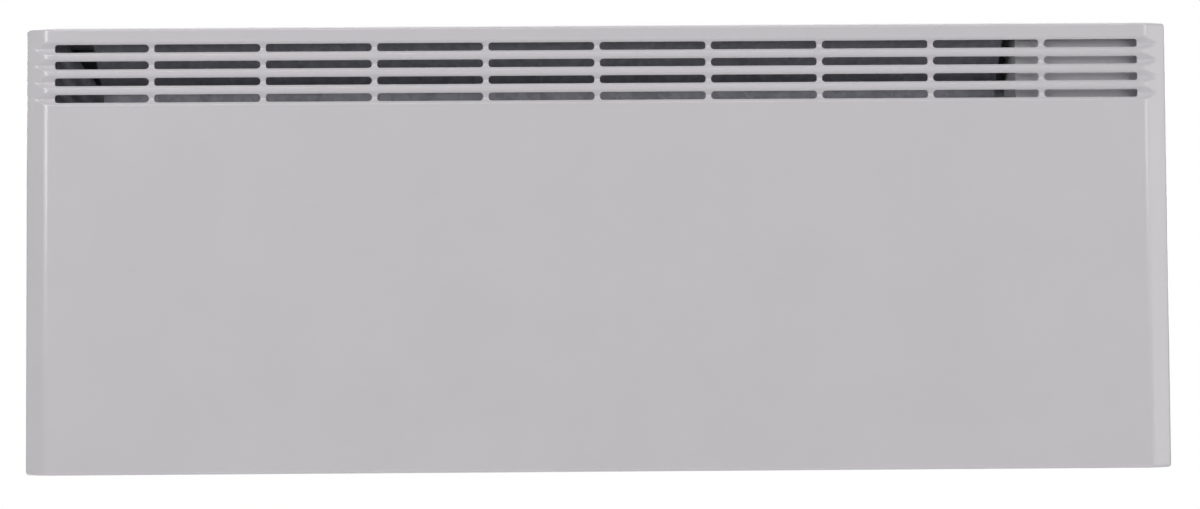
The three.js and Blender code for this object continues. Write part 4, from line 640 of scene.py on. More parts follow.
# %% Front panel
front_panel = new_piece("folded_front_panel", points, faces, "painted_steel")
thicken = front_panel.modifiers.new("sheet", "SOLIDIFY")
thicken.thickness = SHEET
thicken.offset = -1
thicken.use_even_offset = True
settle(front_panel)
stands_for(front_panel, "front_panel")

# %% [markdown]
# ## Sheet parts and mouldings
# The solids of the flat and moulded pieces have the right shape, but their edges are mathematically sharp,
# and nothing real is. A sheared sheet keeps a tenth or two of a millimetre of rounding and a moulding has a
# radius, and that thin line of light along each edge is what makes a piece look solid. So each is copied, its
# triangles are joined to whole faces, and a bevel of the real size rounds the edges.

# %% Rounded sheets and mouldings
SHEARED = 0.12 * MM
MACHINED = 0.25 * MM
PRESSED_HOOK = 0.4 * MM
MOULDED = 0.4 * MM
FLAT_WITHIN = math.radians(0.5)
edge_of = {
    "rear_panel": SHEARED, "heat_shield": SHEARED, "deflector_cheek": SHEARED,
    "wall_rail": MACHINED, "wall_hook_left": PRESSED_HOOK, "wall_hook_right": PRESSED_HOOK,
    "element_fins": MACHINED, "element_bracket_left": SHEARED, "element_bracket_right": SHEARED,
    "thermal_cutout": SHEARED, "control_housing": MOULDED, "thermostat_body": MOULDED,
    "switch_body": MACHINED, "terminal_block": MOULDED, "earth_nut": MACHINED,
    "lead_clip_1": SHEARED, "lead_clip_2": SHEARED, "lead_clip_3": SHEARED,
}


def whole_faces(mesh):
    """Joins a mesh's triangles to whole flat faces, in place."""
    work = opened(mesh)
    bmesh.ops.dissolve_limit(
        work, angle_limit=FLAT_WITHIN, verts=work.verts, edges=work.edges, use_dissolve_boundaries=False,
    )
    return stored(work, mesh)


for node, edge in edge_of.items():
    piece = in_scene(f"{node}_finished", whole_faces(nodes[node].data.copy()))
    settle(rounded_edges(piece, edge))
    stands_for(piece, node)

# %% [markdown]
# The cheek at the left end is of the same kind of sheet as the shield. It looks a good deal darker behind the
# slots, where it lies in shade, so it gets a darker and duller copy of that sheet: its darker tone is painted
# shade.

# %% Cheek with painted shade
# the shield's aluminised sheet in darker tones: painted shade on the cheek, not a different metal
cheek_painted_shade_sheet = galvanised_sheet("aluminised_steel_painted_shade", "#6c6c72", "#78787e", 5, 0.7, 0.1)
cheek = bpy.data.objects["deflector_cheek_finished"]
cheek.data.materials[0] = cheek_painted_shade_sheet
print(cheek.name, "has", cheek_painted_shade_sheet.name)

# %% [markdown]
# ## The control plate
# One moulded plate carries the side controls. Its pad fills the opening in the side wall, a deep well takes
# the knob and a shallow pocket the switch. The solid has the same walls, but draws their corners in few
# steps, and people look at controls from close by. So the plate is built again from the same sizes: blocks
# with fine corners are joined, others are cut out, and the edges are rounded last, as the moulder's tool
# would leave them.

# %% Helpers for moulded blocks
BLOCK_ARC_STEPS = 10


def prism(outline, low, high):
    """Points and faces of a closed outline of (y, z) that is drawn out from x = low to x = high."""
    count = len(outline)
    verts = [(x, y, z) for x in (low, high) for y, z in outline]
    polygons = [list(range(count)), list(range(2 * count - 1, count - 1, -1))]
    polygons += [[i, (i + 1) % count, count + (i + 1) % count, count + i] for i in range(count)]
    return verts, polygons


def rounded_block(middle_z, width, height, corner, x_from, x_to):
    """A block along X on the controls' middle line; with a corner of half its width it is a rod."""
    outline = []
    for quarter, (side_y, side_z) in enumerate(((1, 1), (-1, 1), (-1, -1), (1, -1))):
        for step in range(BLOCK_ARC_STEPS + 1):
            angle = math.pi / 2 * (quarter + step / BLOCK_ARC_STEPS)
            y = side_y * (width / 2 - corner) + corner * math.cos(angle)
            z = side_z * (height / 2 - corner) + corner * math.sin(angle)
            outline.append((control_y + y, middle_z + z))
    return new_piece("block", *prism(outline, x_from, x_to), "light_plastic", outward=True)


def combined(base, operation, others, crossing=False):
    """Joins blocks to a base or cuts them out of it; crossing is for a block whose own faces cross."""
    for other in others:
        step = base.modifiers.new(operation.lower(), "BOOLEAN")
        step.operation = operation
        step.solver = "EXACT"
        step.use_self = crossing
        step.object = other
        applied(base)
        bpy.data.objects.remove(other)


def grown(size, wall):
    """A block's width, height and corner with a wall added all round."""
    return size[0] + 2 * wall, size[1] + 2 * wall, size[2] + wall


print("corners of", BLOCK_ARC_STEPS, "steps")

# %% Sizes of the control plate
SEAT_GAP = 0.3 * MM
PLATE_THICKNESS = 2.5 * MM
PLATE_WALL = 2.0 * MM
WELL_RIM = 2.6 * MM
WELL_HEIGHT = 62.0 * MM
WELL_DEPTH = 12.0 * MM
WELL_CORNER = 11.5 * MM
POCKET_DEPTH = 5.0 * MM
POCKET_MARGIN = 2.0 * MM
SWITCH_ROOM = (14.6 * MM, 21.6 * MM, 0.2 * MM)
SHAFT_HOLE = (6.6 * MM, 6.6 * MM, 3.3 * MM)
LENS_HOLE = (5.6 * MM, 5.6 * MM, 2.8 * MM)
BEYOND = 1.0 * MM  # a cutter reaches this far past what it cuts

plate_face_x = plate_high.x
plate_front_x = right_x - SHEET - SEAT_GAP
plate_back_x = plate_front_x - PLATE_THICKNESS
well_floor_x = plate_face_x - WELL_DEPTH
pocket_floor_x = plate_face_x - POCKET_DEPTH
controls = ("thermostat_knob", "switch_body", "indicator_lens")
dial_z, switch_z, lens_z = (middle_of(node).z for node in controls)
switch_low, switch_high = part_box("switch_body")
switch_size = switch_high - switch_low
blank = (plate_size.y, plate_size.z, OPENING_CORNER)
pad = grown((control_width, control_height, OPENING_CORNER), -SEAT_GAP)
well = (control_width - 2 * (SEAT_GAP + WELL_RIM), WELL_HEIGHT, WELL_CORNER)
pocket = (switch_size.y + 2 * POCKET_MARGIN, switch_size.z + 2 * POCKET_MARGIN, POCKET_MARGIN)
print("well and pocket, mm:", [[round(v / MM, 1) for v in size] for size in (well, pocket)])

# %% Control plate
plate = rounded_block(control_z, *blank, plate_back_x, plate_front_x)
combined(plate, "UNION", [
    rounded_block(control_z, *pad, plate_back_x, plate_face_x),
    rounded_block(dial_z, *grown(well, PLATE_WALL), well_floor_x - PLATE_WALL, plate_front_x),
    rounded_block(switch_z, *grown(pocket, PLATE_WALL), pocket_floor_x - PLATE_WALL, plate_front_x),
])
combined(plate, "DIFFERENCE", [
    rounded_block(dial_z, *well, well_floor_x, plate_face_x + BEYOND),
    rounded_block(switch_z, *pocket, pocket_floor_x, plate_face_x + BEYOND),
    rounded_block(dial_z, *SHAFT_HOLE, well_floor_x - PLATE_WALL - BEYOND, well_floor_x + BEYOND),
    rounded_block(switch_z, *SWITCH_ROOM, pocket_floor_x - PLATE_WALL - BEYOND, pocket_floor_x + BEYOND),
    rounded_block(lens_z, *LENS_HOLE, plate_back_x - BEYOND, plate_face_x + BEYOND),
])
plate.name = plate.data.name = "control_plate_moulding"
whole_faces(plate.data)
settle(rounded_edges(plate, MOULDED, steps=3))
stands_for(plate, "control_fascia")

# %% [markdown]
# ## Turned parts
# A turned part is its outline swept round an axis. The solids hold that outline, but are swept in a few
# straight steps. The points of one solid that lie on one side of its axis are the outline, and its edges give
# their order. So the outline is read, its corners are rounded, and it is swept again in fine steps.

# %% The outline of a turned solid
ON_PLANE = 0.01 * MM


def outline_of(node, axis):
    """The outline of a turned solid as (radius, place along the axis), whether it closes, and its middle."""
    work = opened(nodes[node].data)
    centre = middle_of(node)
    first, second = [k for k in range(3) if k != axis]
    half_plane = {
        v.index: (max(v.co[first] - centre[first], 0), v.co[axis])
        for v in work.verts
        if abs(v.co[second] - centre[second]) < ON_PLANE and v.co[first] - centre[first] > -ON_PLANE
    }
    neighbours = {index: [] for index in half_plane}
    for edge in work.edges:
        a, b = edge.verts[0].index, edge.verts[1].index
        if a in neighbours and b in neighbours:
            neighbours[a].append(b)
            neighbours[b].append(a)
    work.free()
    ends = [index for index, others in neighbours.items() if len(others) == 1]
    order = [ends[0] if ends else next(iter(neighbours))]
    while onward := [other for other in neighbours[order[-1]] if other not in order]:
        order.append(onward[0])
    return [half_plane[index] for index in order], not ends, centre


print("points of the gland's outline:", len(outline_of("cable_gland", 1)[0]))

# %% A helper that rounds an outline
FILLET_STEPS = 4
EDGE_SHARE = 0.45  # a fillet takes less than half of each line beside it


def filleted(outline, closed, radius):
    """Rounds the corners of an outline; its ends stay where it is open."""
    count = len(outline)
    points = [np.array(point) for point in outline]
    rounded = []
    for i, corner in enumerate(points):
        if not closed and i in (0, count - 1):
            rounded.append(corner)
            continue
        before, after = points[i - 1] - corner, points[(i + 1) % count] - corner
        lengths = np.linalg.norm(before), np.linalg.norm(after)
        reach = min(radius, EDGE_SHARE * lengths[0], EDGE_SHARE * lengths[1])
        start = corner + before / lengths[0] * reach
        end = corner + after / lengths[1] * reach
        for step in range(FILLET_STEPS + 1):
            t = step / FILLET_STEPS
            rounded.append((1 - t) ** 2 * start + 2 * t * (1 - t) * corner + t * t * end)
    return rounded


print("a rounded corner has", FILLET_STEPS, "steps")

# %% Helpers that sweep an outline
TURN_STEPS = 56


def swept(outline, closed, axis, centre, steps=TURN_STEPS):
    """Points and faces of an outline turned round an axis."""
    first, second = [k for k in range(3) if k != axis]
    verts, polygons = [], []
    count = len(outline)
    for step in range(steps):
        angle = 2 * math.pi * step / steps
        for radius, along in outline:
            point = [0.0, 0.0, 0.0]
            point[axis] = along
            point[first] = centre[first] + radius * math.cos(angle)
            point[second] = centre[second] + radius * math.sin(angle)
            verts.append(point)
        here, there = step * count, (step + 1) % steps * count
        for i in range(count if closed else count - 1):
            j = (i + 1) % count
            polygons.append([here + i, here + j, there + j, there + i])
    return verts, polygons


def turned(node, axis, fillet, name=None):
    outline, closed, centre = outline_of(node, axis)
    shape = swept(filleted(outline, closed, fillet), closed, axis, centre)
    return settle(new_piece(name or f"{node}_finished", *shape, slot_of[node], outward=True))


print("a turned part has", TURN_STEPS, "steps round its axis")

# %% Turned parts
ALONG_X, ALONG_Y = 0, 1
fillet_of = {
    "spacer_foot_left": (ALONG_Y, 1.2), "spacer_foot_right": (ALONG_Y, 1.2), "cable_gland": (ALONG_Y, 0.8),
    "earth_stud": (ALONG_Y, 0.3), "indicator_lens": (ALONG_X, 0.7), "thermostat_shaft": (ALONG_X, 0.4),
    "heating_rod": (ALONG_X, 0.5), "rod_bush_left": (ALONG_X, 0.6), "rod_bush_right": (ALONG_X, 0.6),
    "terminal_pin_left": (ALONG_X, 0.25), "terminal_pin_right": (ALONG_X, 0.25),
}
for node, (axis, fillet_mm) in fillet_of.items():
    stands_for(turned(node, axis, fillet_mm * MM), node)

# %% [markdown]
# ## Screws and rivets
# Ten equal screws and two kinds of rivet repeat over the back and the shield. Geometry Nodes sets one model
# out on a list of places. Nobody lines up the recesses of screws, so each is turned by a random angle, from a
# fixed seed so that every run gives the same ones.

# %% Helpers for Geometry Nodes
def new_tree(name, inputs, output):
    """A tree with named inputs; gives the tree, its input sockets and the values that they are given."""
    tree = bpy.data.node_groups.new(name, "GeometryNodeTree")
    sockets = {
        label: tree.interface.new_socket(name=label, in_out="INPUT", socket_type=kind)
        for label, kind in inputs.items()
    }
    tree.interface.new_socket(name=output, in_out="OUTPUT", socket_type="NodeSocketGeometry")
    return tree, sockets, add_node(tree, "NodeGroupInput").outputs


def end_tree(tree, copies, finish):
    """Makes the copies real mesh with a finish, and ends the tree with them."""
    real = add_node(tree, "GeometryNodeRealizeInstances", {0: copies})
    finished = add_node(tree, "GeometryNodeSetMaterial", {"Geometry": real.outputs[0], "Material": finish})
    add_node(tree, "NodeGroupOutput", {0: finished.outputs[0]})


def run_tree(piece, tree, sockets, values):
    """Sets a tree's inputs by their identifiers, runs it on a piece and keeps the plain mesh."""
    modifier = piece.modifiers.new(tree.name, "NODES")
    modifier.node_group = tree
    for label, value in values.items():
        modifier[sockets[label].identifier] = value
    settle(piece)


print("node groups so far:", len(bpy.data.node_groups))

# %% The tree that sets copies out
RANDOM_LOW, RANDOM_HIGH, RANDOM_VALUE = 2, 3, 1  # the sockets of a Random Value node that hold numbers


def set_out_tree():
    tree, sockets, given = new_tree("set_out_copies", {
        "Places": "NodeSocketGeometry", "Model": "NodeSocketObject", "Most turn": "NodeSocketFloat",
        "Seed": "NodeSocketInt", "Finish": "NodeSocketMaterial",
    }, "Copies")
    model = add_node(tree, "GeometryNodeObjectInfo", {"Object": given["Model"]})
    angle = add_node(tree, "FunctionNodeRandomValue", {
        RANDOM_LOW: 0.0, RANDOM_HIGH: given["Most turn"], "Seed": given["Seed"],
    }, data_type="FLOAT").outputs[RANDOM_VALUE]
    spin = add_node(tree, "ShaderNodeCombineXYZ", {"Y": angle})
    copies = add_node(tree, "GeometryNodeInstanceOnPoints", {
        "Points": given["Places"], "Instance": model.outputs["Geometry"], "Rotation": spin.outputs["Vector"],
    })
    end_tree(tree, copies.outputs["Instances"], given["Finish"])
    return tree, sockets


copies_tree, copies_inputs = set_out_tree()


def set_out(name, model, names, most_turn, seed):
    """One mesh that holds a copy of the model at the middle of each named solid."""
    mesh = bpy.data.meshes.new(name)
    mesh.from_pydata([tuple(middle_of(node)) for node in names], [], [])
    piece = in_scene(name, mesh)
    run_tree(piece, copies_tree, copies_inputs, {
        "Model": model, "Most turn": most_turn, "Seed": seed, "Finish": finishes[slot_of[names[0]]],
    })
    stands_for(piece, *names)
    bpy.data.objects.remove(model)


def model_of(node, fillet, name):
    """A turned part along Y, moved to the origin."""
    piece = turned(node, ALONG_Y, fillet, name)
    piece.data.transform(Matrix.Translation(-middle_of(node)))
    return piece


print("inputs of the tree:", list(copies_inputs))

# %% Screws with a cross recess
SCREW_FILLET = 0.9 * MM
RECESS_REACH = 2.1 * MM
RECESS_WIDTH = 0.95 * MM
RECESS_DEPTH = 1.3 * MM
SCREW_SEED = 7
screw = model_of("casing_screw_1", SCREW_FILLET, "screw_model")
head_y = max(v.co.y for v in screw.data.vertices)
arms = bmesh.new()
for size in ((2 * RECESS_REACH, RECESS_WIDTH), (RECESS_WIDTH, 2 * RECESS_REACH)):
    arm = Matrix.Translation((0, head_y, 0)) @ Matrix.Diagonal((size[0], 2 * RECESS_DEPTH, size[1], 1))
    bmesh.ops.create_cube(arms, size=1.0, matrix=arm)
recess = in_scene("recess", stored(arms, bpy.data.meshes.new("recess")))
combined(screw, "DIFFERENCE", [recess], crossing=True)
settle(screw)
screw_names = [f"casing_screw_{i}" for i in range(1, 9)] + ["housing_screw_1", "housing_screw_2"]
set_out("cross_head_screws", screw, screw_names, math.pi / 2, SCREW_SEED)

# %% Rivets
RIVET_FILLET = 0.5 * MM
shield_rivets = [f"shield_rivet_{i}" for i in range(1, 5)]
bracket_rivets = [f"bracket_rivet_{side}_{i}" for side in ("left", "right") for i in (1, 2)]
rivet_sets = (("shield_rivets_set", shield_rivets, 3), ("bracket_rivets_set", bracket_rivets, 4))
for label, names, seed in rivet_sets:
    set_out(label, model_of(names[0], RIVET_FILLET, "rivet_model"), names, 0.0, seed)

# %% [markdown]
# ## The thermostat knob
# The knob is a moulding with a fluted grip, a slightly dished face and a groove that points at the scale. All
# of it is one radius and one height over an angle and a ring, so it is built as rings of points. The flutes
# are a cosine wave round the side that fades over the rounded shoulder.

# %% Rings of the knob
FLUTES = 18
FLUTE_DEPTH = 0.7 * MM
SHOULDER = 1.4 * MM
SHOULDER_STEPS = 5
BACK_EDGE = 0.5 * MM
BACK_FLUTE = 0.6  # the flutes are shallower round the back edge
DISH = 0.5 * MM
FACE_RINGS = 22
BORE_RADIUS = 3.3 * MM
FACE_THICKNESS = 3.0 * MM
knob_low, knob_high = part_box("thermostat_knob")
_, knob_y, knob_z = middle_of("thermostat_knob")
knob_radius = (knob_high.y - knob_low.y) / 2
knob_back_x, knob_face_x = knob_low.x, knob_high.x
bore_end_x = knob_face_x - FACE_THICKNESS
face_radius = knob_radius - SHOULDER

# Each ring is (radius, x, share of the flutes' depth), from inside the bore round to the middle of the face.
knob_rings = [(0.0, bore_end_x, 0.0), (BORE_RADIUS, bore_end_x, 0.0), (BORE_RADIUS, knob_back_x, 0.0)]
knob_rings += [(knob_radius - BACK_EDGE, knob_back_x, BACK_FLUTE)]
knob_rings += [(knob_radius, knob_back_x + BACK_EDGE, 1.0), (knob_radius, knob_face_x - SHOULDER, 1.0)]
for step in range(1, SHOULDER_STEPS + 1):
    angle = math.pi / 2 * step / SHOULDER_STEPS
    radius = knob_radius - SHOULDER * (1 - math.cos(angle))
    knob_rings.append((radius, knob_face_x - SHOULDER * (1 - math.sin(angle)), math.cos(angle) ** 2))
first_face_ring = len(knob_rings) - 1
for ring in range(1, FACE_RINGS + 1):
    share = 1 - ring / FACE_RINGS
    knob_rings.append((face_radius * share, knob_face_x - DISH * (1 - share * share), 0.0))
print("rings of the knob:", len(knob_rings), "radius, mm:", round(knob_radius / MM, 2))

# %% Thermostat knob
POINTS_PER_FLUTE = 12
POINTER_WIDTH = 1.4 * MM
POINTER_DEPTH = 0.8 * MM
POINTER_FADE = 0.35 * MM
POINTER_START = knob_radius / 4
KNOB_SHARP_DEG = 40
knob_points, knob_faces = [], []
around = FLUTES * POINTS_PER_FLUTE
for ring, (radius, x, flute) in enumerate(knob_rings):
    for k in range(around):
        angle = 2 * math.pi * k / around
        reach = radius - flute * FLUTE_DEPTH * (1 - math.cos(FLUTES * angle)) / 2
        y, z = reach * math.cos(angle), reach * math.sin(angle)
        across = np.clip((POINTER_WIDTH / 2 - abs(y)) / POINTER_FADE, 0, 1)
        along = np.clip((z - POINTER_START) / POINTER_FADE, 0, 1)
        groove = POINTER_DEPTH * across * along if ring >= first_face_ring else 0.0
        knob_points.append((x - groove, knob_y + y, knob_z + z))
for here in range(0, (len(knob_rings) - 1) * around, around):
    for k in range(around):
        after = (k + 1) % around
        knob_faces.append([here + k, here + after, here + around + after, here + around + k])
knob = new_piece("fluted_thermostat_knob", knob_points, knob_faces, slot_of["thermostat_knob"], outward=True)
settle(knob, KNOB_SHARP_DEG)
stands_for(knob, "thermostat_knob")

# %% [markdown]
# A painted line fills the groove, so that the setting can be read from above.

# %% Pointer line
LINE_WIDTH = 0.9 * MM
LINE_LENGTH = 6.6 * MM
LINE_THICKNESS = 0.6 * MM
LINE_SINK = 1.35 * MM  # from the knob's face down to the line's underside
LINE_FROM_SHOULDER = 0.3 * MM
FINE_EDGE = 0.08 * MM


def bar_outline(length, width, steps=8):
    """Outline of a bar with round ends that stands along z."""
    points = []
    for end in (1, -1):
        for step in range(steps + 1):
            angle = math.pi * step / steps
            along = (length - width) / 2 + width / 2 * math.sin(angle)
            points.append((end * width / 2 * math.cos(angle), end * along))
    return points


line_shape = prism(bar_outline(LINE_LENGTH, LINE_WIDTH), 0.0, LINE_THICKNESS)
line = new_piece("knob_pointer_line", *line_shape, "grey_plastic", outward=True)
line_z = knob_z + face_radius - LINE_LENGTH / 2 - LINE_FROM_SHOULDER
line.data.transform(Matrix.Translation((knob_face_x - LINE_SINK, knob_y, line_z)))
settle(rounded_edges(line, FINE_EDGE))
stands_for(line, body="knob", slot="grey_plastic")

# %% [markdown]
# ## The scale round the knob
# Eleven short bars stand on the floor of the knob's well, over the part of a turn that the knob makes, and
# run clockwise from the top as the pointer does. The first, middle and last are longer. A tree places them by
# their number, so the same tree suits any dial.

# %% The tree of a dial's scale
LONGER_BY = 0.6  # share by which the first, middle and last bars are longer


def dial_tree():
    tree, sockets, given = new_tree("dial_scale", {
        "Marks": "NodeSocketInt", "Sweep": "NodeSocketFloat", "Radius": "NodeSocketFloat",
        "Length": "NodeSocketFloat", "Width": "NodeSocketFloat", "Height": "NodeSocketFloat",
        "Finish": "NodeSocketMaterial",
    }, "Scale")
    number = add_node(tree, "GeometryNodeInputIndex").outputs["Index"]
    steps = add_node(tree, "ShaderNodeMath", {0: given["Marks"], 1: 1.0}, operation="SUBTRACT").outputs[0]
    share = add_node(tree, "ShaderNodeMath", {0: number, 1: steps}, operation="DIVIDE").outputs[0]
    angle = add_node(tree, "ShaderNodeMath", {0: share, 1: given["Sweep"]}, operation="MULTIPLY").outputs[0]
    upright = add_node(tree, "ShaderNodeCombineXYZ", {"Z": given["Radius"]}).outputs["Vector"]
    place = add_node(tree, "ShaderNodeVectorRotate", {
        "Vector": upright, "Angle": angle,
    }, rotation_type="X_AXIS").outputs["Vector"]
    points = add_node(tree, "GeometryNodePoints", {"Count": given["Marks"], "Position": place})
    size = add_node(tree, "ShaderNodeCombineXYZ", {
        "X": given["Height"], "Y": given["Width"], "Z": given["Length"],
    }).outputs["Vector"]
    bar = add_node(tree, "GeometryNodeMeshCube", {"Size": size})
    # A bar is longer where its number leaves nothing over when divided by half the number of steps.
    half = add_node(tree, "ShaderNodeMath", {0: steps, 1: 2.0}, operation="DIVIDE").outputs[0]
    over = add_node(tree, "ShaderNodeMath", {0: number, 1: half}, operation="MODULO").outputs[0]
    main = add_node(tree, "ShaderNodeMath", {0: over, 1: 0.5}, operation="LESS_THAN").outputs[0]
    long = add_node(tree, "ShaderNodeMath", {0: main, 1: LONGER_BY, 2: 1.0}, operation="MULTIPLY_ADD")
    spin = add_node(tree, "ShaderNodeCombineXYZ", {"X": angle})
    stretch = add_node(tree, "ShaderNodeCombineXYZ", {"X": 1.0, "Y": 1.0, "Z": long.outputs[0]})
    bars = add_node(tree, "GeometryNodeInstanceOnPoints", {
        "Points": points.outputs[0], "Instance": bar.outputs["Mesh"],
        "Rotation": spin.outputs["Vector"], "Scale": stretch.outputs["Vector"],
    })
    end_tree(tree, bars.outputs["Instances"], given["Finish"])
    return tree, sockets


scale_tree, scale_inputs = dial_tree()
print("inputs of the tree:", list(scale_inputs))

# %% Scale round the knob
MARK_HEIGHT = 0.3 * MM
turning = next(joint for joint in frame["joints"] if joint["name"] == "thermostat_turn")
scale = in_scene("dial_scale", bpy.data.meshes.new("dial_scale"))
run_tree(scale, scale_tree, scale_inputs, {
    "Marks": 11, "Sweep": -math.radians(turning["range_deg"][1]), "Radius": 14.4 * MM, "Length": 1.6 * MM,
    "Width": 0.7 * MM, "Height": MARK_HEIGHT, "Finish": finishes["grey_plastic"],
})
scale.data.transform(Matrix.Translation((well_floor_x + MARK_HEIGHT / 2, knob_y, knob_z)))
settle(rounded_edges(scale, FINE_EDGE))
stands_for(scale, body="heater", slot="grey_plastic")
print("the knob turns by degrees", turning["range_deg"])

# %% [markdown]
# ## The rocker switch
# The rocker is a dished bar on two pins, drawn level and then turned to its pressed side. A bar and a ring in
# relief mark on and off, as on any such switch.

# %% Sizes of the rocker
ROCKER_TILT = math.radians(8)
ROCKER_HALF = 8.5 * MM
ROCKER_RISE = 3.0 * MM
ROCKER_DIP = 1.4 * MM
ROCKER_BELLY = 4.6 * MM
ROCKER_EDGE = 0.6 * MM
ROCKER_SHOULDER = 5.1 * MM
ROCKER_KEEL = 2.04 * MM
ROCKER_WIDTH = 10.4 * MM
ROCKER_ROUNDING = 0.35 * MM
ROCKER_SHARP_DEG = 40
PIN_RADIUS = 1.2 * MM
PIN_FILLET = 0.2 * MM
PIN_STEPS = 24
DISH_STEPS = 16
tilting = next(joint for joint in frame["joints"] if joint["name"] == "switch_tilt")
pivot = Vector(tilting["pos_m"])
tilt = Matrix.Translation(pivot) @ Matrix.Rotation(-ROCKER_TILT, 4, "Y")


def dish(up):
    """How far the rocker's face stands out at a height above its pivot."""
    return ROCKER_DIP + (ROCKER_RISE - ROCKER_DIP) * (up / ROCKER_HALF) ** 2


print("rocker pivot, mm:", [round(v / MM, 2) for v in pivot])

# %% Rocker
heights = [ROCKER_HALF * (1 - 2 * step / DISH_STEPS) for step in range(DISH_STEPS + 1)]
belly = [(ROCKER_EDGE, -ROCKER_HALF), (-ROCKER_BELLY / 2, -ROCKER_SHOULDER), (-ROCKER_BELLY, -ROCKER_KEEL)]
belly += [(out, -up) for out, up in reversed(belly)]
side_view = [(dish(up), up) for up in heights] + belly
rocker_verts, rocker_faces = prism(side_view, -ROCKER_WIDTH / 2, ROCKER_WIDTH / 2)
rocker_verts = [tilt @ Vector((out, across, up)) for across, out, up in rocker_verts]

rocker_low, rocker_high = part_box("switch_rocker")
pin_reach = (rocker_high.y - rocker_low.y) / 2
pin_outline = [(0.0, -pin_reach), (PIN_RADIUS, -pin_reach), (PIN_RADIUS, pin_reach), (0.0, pin_reach)]
pin_outline = [(radius, pivot.y + along) for radius, along in filleted(pin_outline, False, PIN_FILLET)]
pin_verts, pin_faces = swept(pin_outline, False, ALONG_Y, pivot, PIN_STEPS)
rocker_faces += [[len(rocker_verts) + index for index in face] for face in pin_faces]
rocker_verts += pin_verts
rocker = new_piece("rocker_moulding", rocker_verts, rocker_faces, slot_of["switch_rocker"], outward=True)
settle(rounded_edges(rocker, ROCKER_ROUNDING, ROCKER_SHARP_DEG, 3))
stands_for(rocker, "switch_rocker")

# %% On and off marks
MARK_UP = 4.9 * MM
MARK_TUBE = 0.32 * MM
MARK_SINK = 0.14 * MM
RING_RADIUS = 1.6 * MM
RING_STEPS = 32
RING_SIDES = 12
ON_BAR_LENGTH = 4.16 * MM


def on_rocker(up):
    """The place and tilt of a mark on the dished face."""
    slope = 2 * (ROCKER_RISE - ROCKER_DIP) * up / ROCKER_HALF ** 2
    outward = Matrix.Translation((dish(up) - MARK_SINK, 0, up))
    return tilt @ outward @ Matrix.Rotation(math.atan(slope), 4, "Y")


ring_outline = [
    (RING_RADIUS + MARK_TUBE * math.cos(angle), MARK_TUBE * math.sin(angle))
    for angle in np.linspace(0, 2 * math.pi, RING_SIDES, endpoint=False)
]
ring_verts, ring_faces = swept(ring_outline, True, ALONG_X, Vector(), RING_STEPS)
bar_verts, bar_faces = prism(bar_outline(ON_BAR_LENGTH, 2 * MARK_TUBE), -MARK_TUBE, MARK_TUBE)
mark_verts = [on_rocker(-MARK_UP) @ Vector(v) for v in ring_verts]
mark_verts += [on_rocker(MARK_UP) @ Vector(v) for v in bar_verts]
mark_faces = ring_faces + [[len(ring_verts) + index for index in face] for face in bar_faces]
marks = new_piece("rocker_on_off_marks", mark_verts, mark_faces, "light_plastic", outward=True)
settle(marks)
stands_for(marks, body="rocker", slot="light_plastic")

# %% [markdown]
# ## The leads
# Silicone-insulated leads are round and slightly matt. The solids follow each lead's real route with few
# sides, and a subdivision surface rounds them. It also draws them in, so they are pushed out by as much.

# %% Leads
LEAD_RADIUS = 1.2 * MM
LEAD_SIDES = 6
# A smoothed corner moves in by a third of its height over the line between its two neighbours.
LEAD_LOSS = LEAD_RADIUS * (1 - math.cos(2 * math.pi / LEAD_SIDES)) / 3
LEAD_QUAD_ANGLES = math.radians(40), math.radians(60)
LEAD_END_ANGLE = math.radians(70)  # edges sharper than this are the cut ends, and stay sharp
LEAD_SHARP_DEG = 60
for node in ("supply_lead", "switch_lead", "heating_lead", "element_lead", "neutral_lead", "earth_lead"):
    work = opened(nodes[node].data)
    bmesh.ops.join_triangles(
        work, faces=work.faces,
        angle_face_threshold=LEAD_QUAD_ANGLES[0], angle_shape_threshold=LEAD_QUAD_ANGLES[1],
    )
    crease = work.edges.layers.float.new("crease_edge")
    for edge in work.edges:
        if edge.calc_face_angle(0) > LEAD_END_ANGLE:
            edge[crease] = 1.0
    piece = in_scene(f"{node}_finished", stored(work, nodes[node].data.copy()))
    smooth = piece.modifiers.new("round", "SUBSURF")
    smooth.levels = smooth.render_levels = 1
    swell = piece.modifiers.new("swell", "DISPLACE")
    swell.strength = LEAD_LOSS
    swell.mid_level = 0.0
    settle(piece, LEAD_SHARP_DEG)
    stands_for(piece, node)

# %% [markdown]
# ## The studio
# The heater is shown on white. The background is white only where the camera looks at it directly, and lights
# the scene much less than that, so that the lamps can shape the folds. A tall softbox on each side stands
# where the bend between front and flank mirrors it, which draws the two bright lines. Both reach well above
# the slots, so they also throw the shadow of each slot's upper edge on what lies behind it. A long lamp high
# in front shines in through the top row of slots and down on the shield behind the lowest one. A pale card
# further round on the right lightens the flank there. The other three stand behind the front's own plane.
# They light the top, the back and the floor, and only what the floor throws back reaches the front.

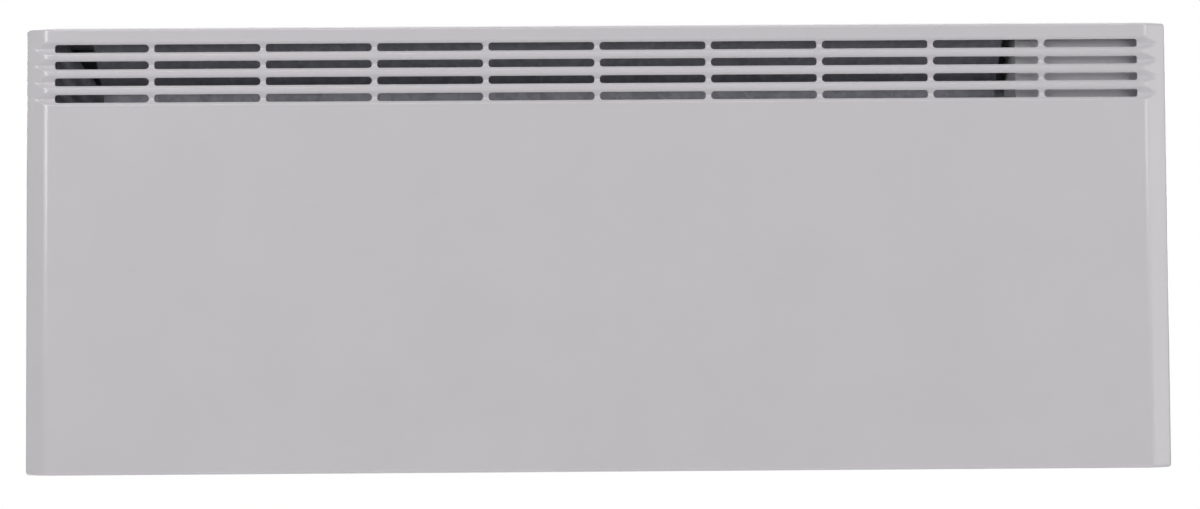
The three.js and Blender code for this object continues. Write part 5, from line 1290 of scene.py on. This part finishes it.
# %% Floor and background
FLOOR_Z = -0.9
FLOOR_RADIUS = 2.2
AMBIENT = 0.04
bpy.ops.mesh.primitive_circle_add(
    vertices=96, radius=FLOOR_RADIUS, fill_type="NGON", location=(0, 0, FLOOR_Z),
)
floor = bpy.context.object
floor.name = "studio_floor"
floor.data.materials.append(new_material("matt_white_floor", Base_Color=colour("#eeeeee"), Roughness=0.9)[0])

world = bpy.data.worlds.new("studio")
world.use_nodes = True
bpy.context.scene.world = world
sky = world.node_tree
seen = add_node(sky, "ShaderNodeLightPath").outputs["Is Camera Ray"]
level = add_node(sky, "ShaderNodeMapRange", {"Value": seen, "To Min": AMBIENT, "To Max": 1.0})
sky.links.new(level.outputs["Result"], sky.nodes["Background"].inputs["Strength"])
sky.nodes["Background"].inputs["Color"].default_value = colour("#ffffff")
bpy.context.scene.view_settings.view_transform = "Standard"
print("studio: floor at", FLOOR_Z, "ambient", AMBIENT)

# %% Lamps
# Each is (name, place, the point that it faces, width and height in metres, power in watts).
for name, place, target, size, power in (
    ("softbox_right", (1.85, -1.9, 0.88), (0.45, 0, 0.35), (0.34, 1.8), 12.2),
    ("softbox_left", (-1.85, -1.9, 0.88), (-0.45, 0, 0.35), (0.36, 1.8), 19.4),
    ("card_right", (2.37, -1.25, 0.0), (0.5, 0, -0.1), (0.8, 1.6), 9),
    ("high_front", (-0.3, -2.2, 1.68), (-0.1, 0, 0), (3.0, 0.3), 30),
    ("ceiling", (0, 1.1, 2.6), (0, 1.0, -0.9), (4.0, 1.8), 75),
    ("rear_left", (-1.9, 2.3, 1.0), (0, 0, -0.1), (1.0, 1.6), 46),
    ("rear_right", (2.1, 2.1, 0.5), (0, 0, -0.1), (0.8, 1.4), 24),
):
    data = bpy.data.lights.new(name, "AREA")
    data.shape = "RECTANGLE"
    data.size, data.size_y = size
    data.energy = power
    lamp = in_scene(name, data)
    lamp.location = place
    lamp.rotation_euler = (Vector(target) - Vector(place)).to_track_quat("-Z", "Y").to_euler()
    print(name, power, "W")
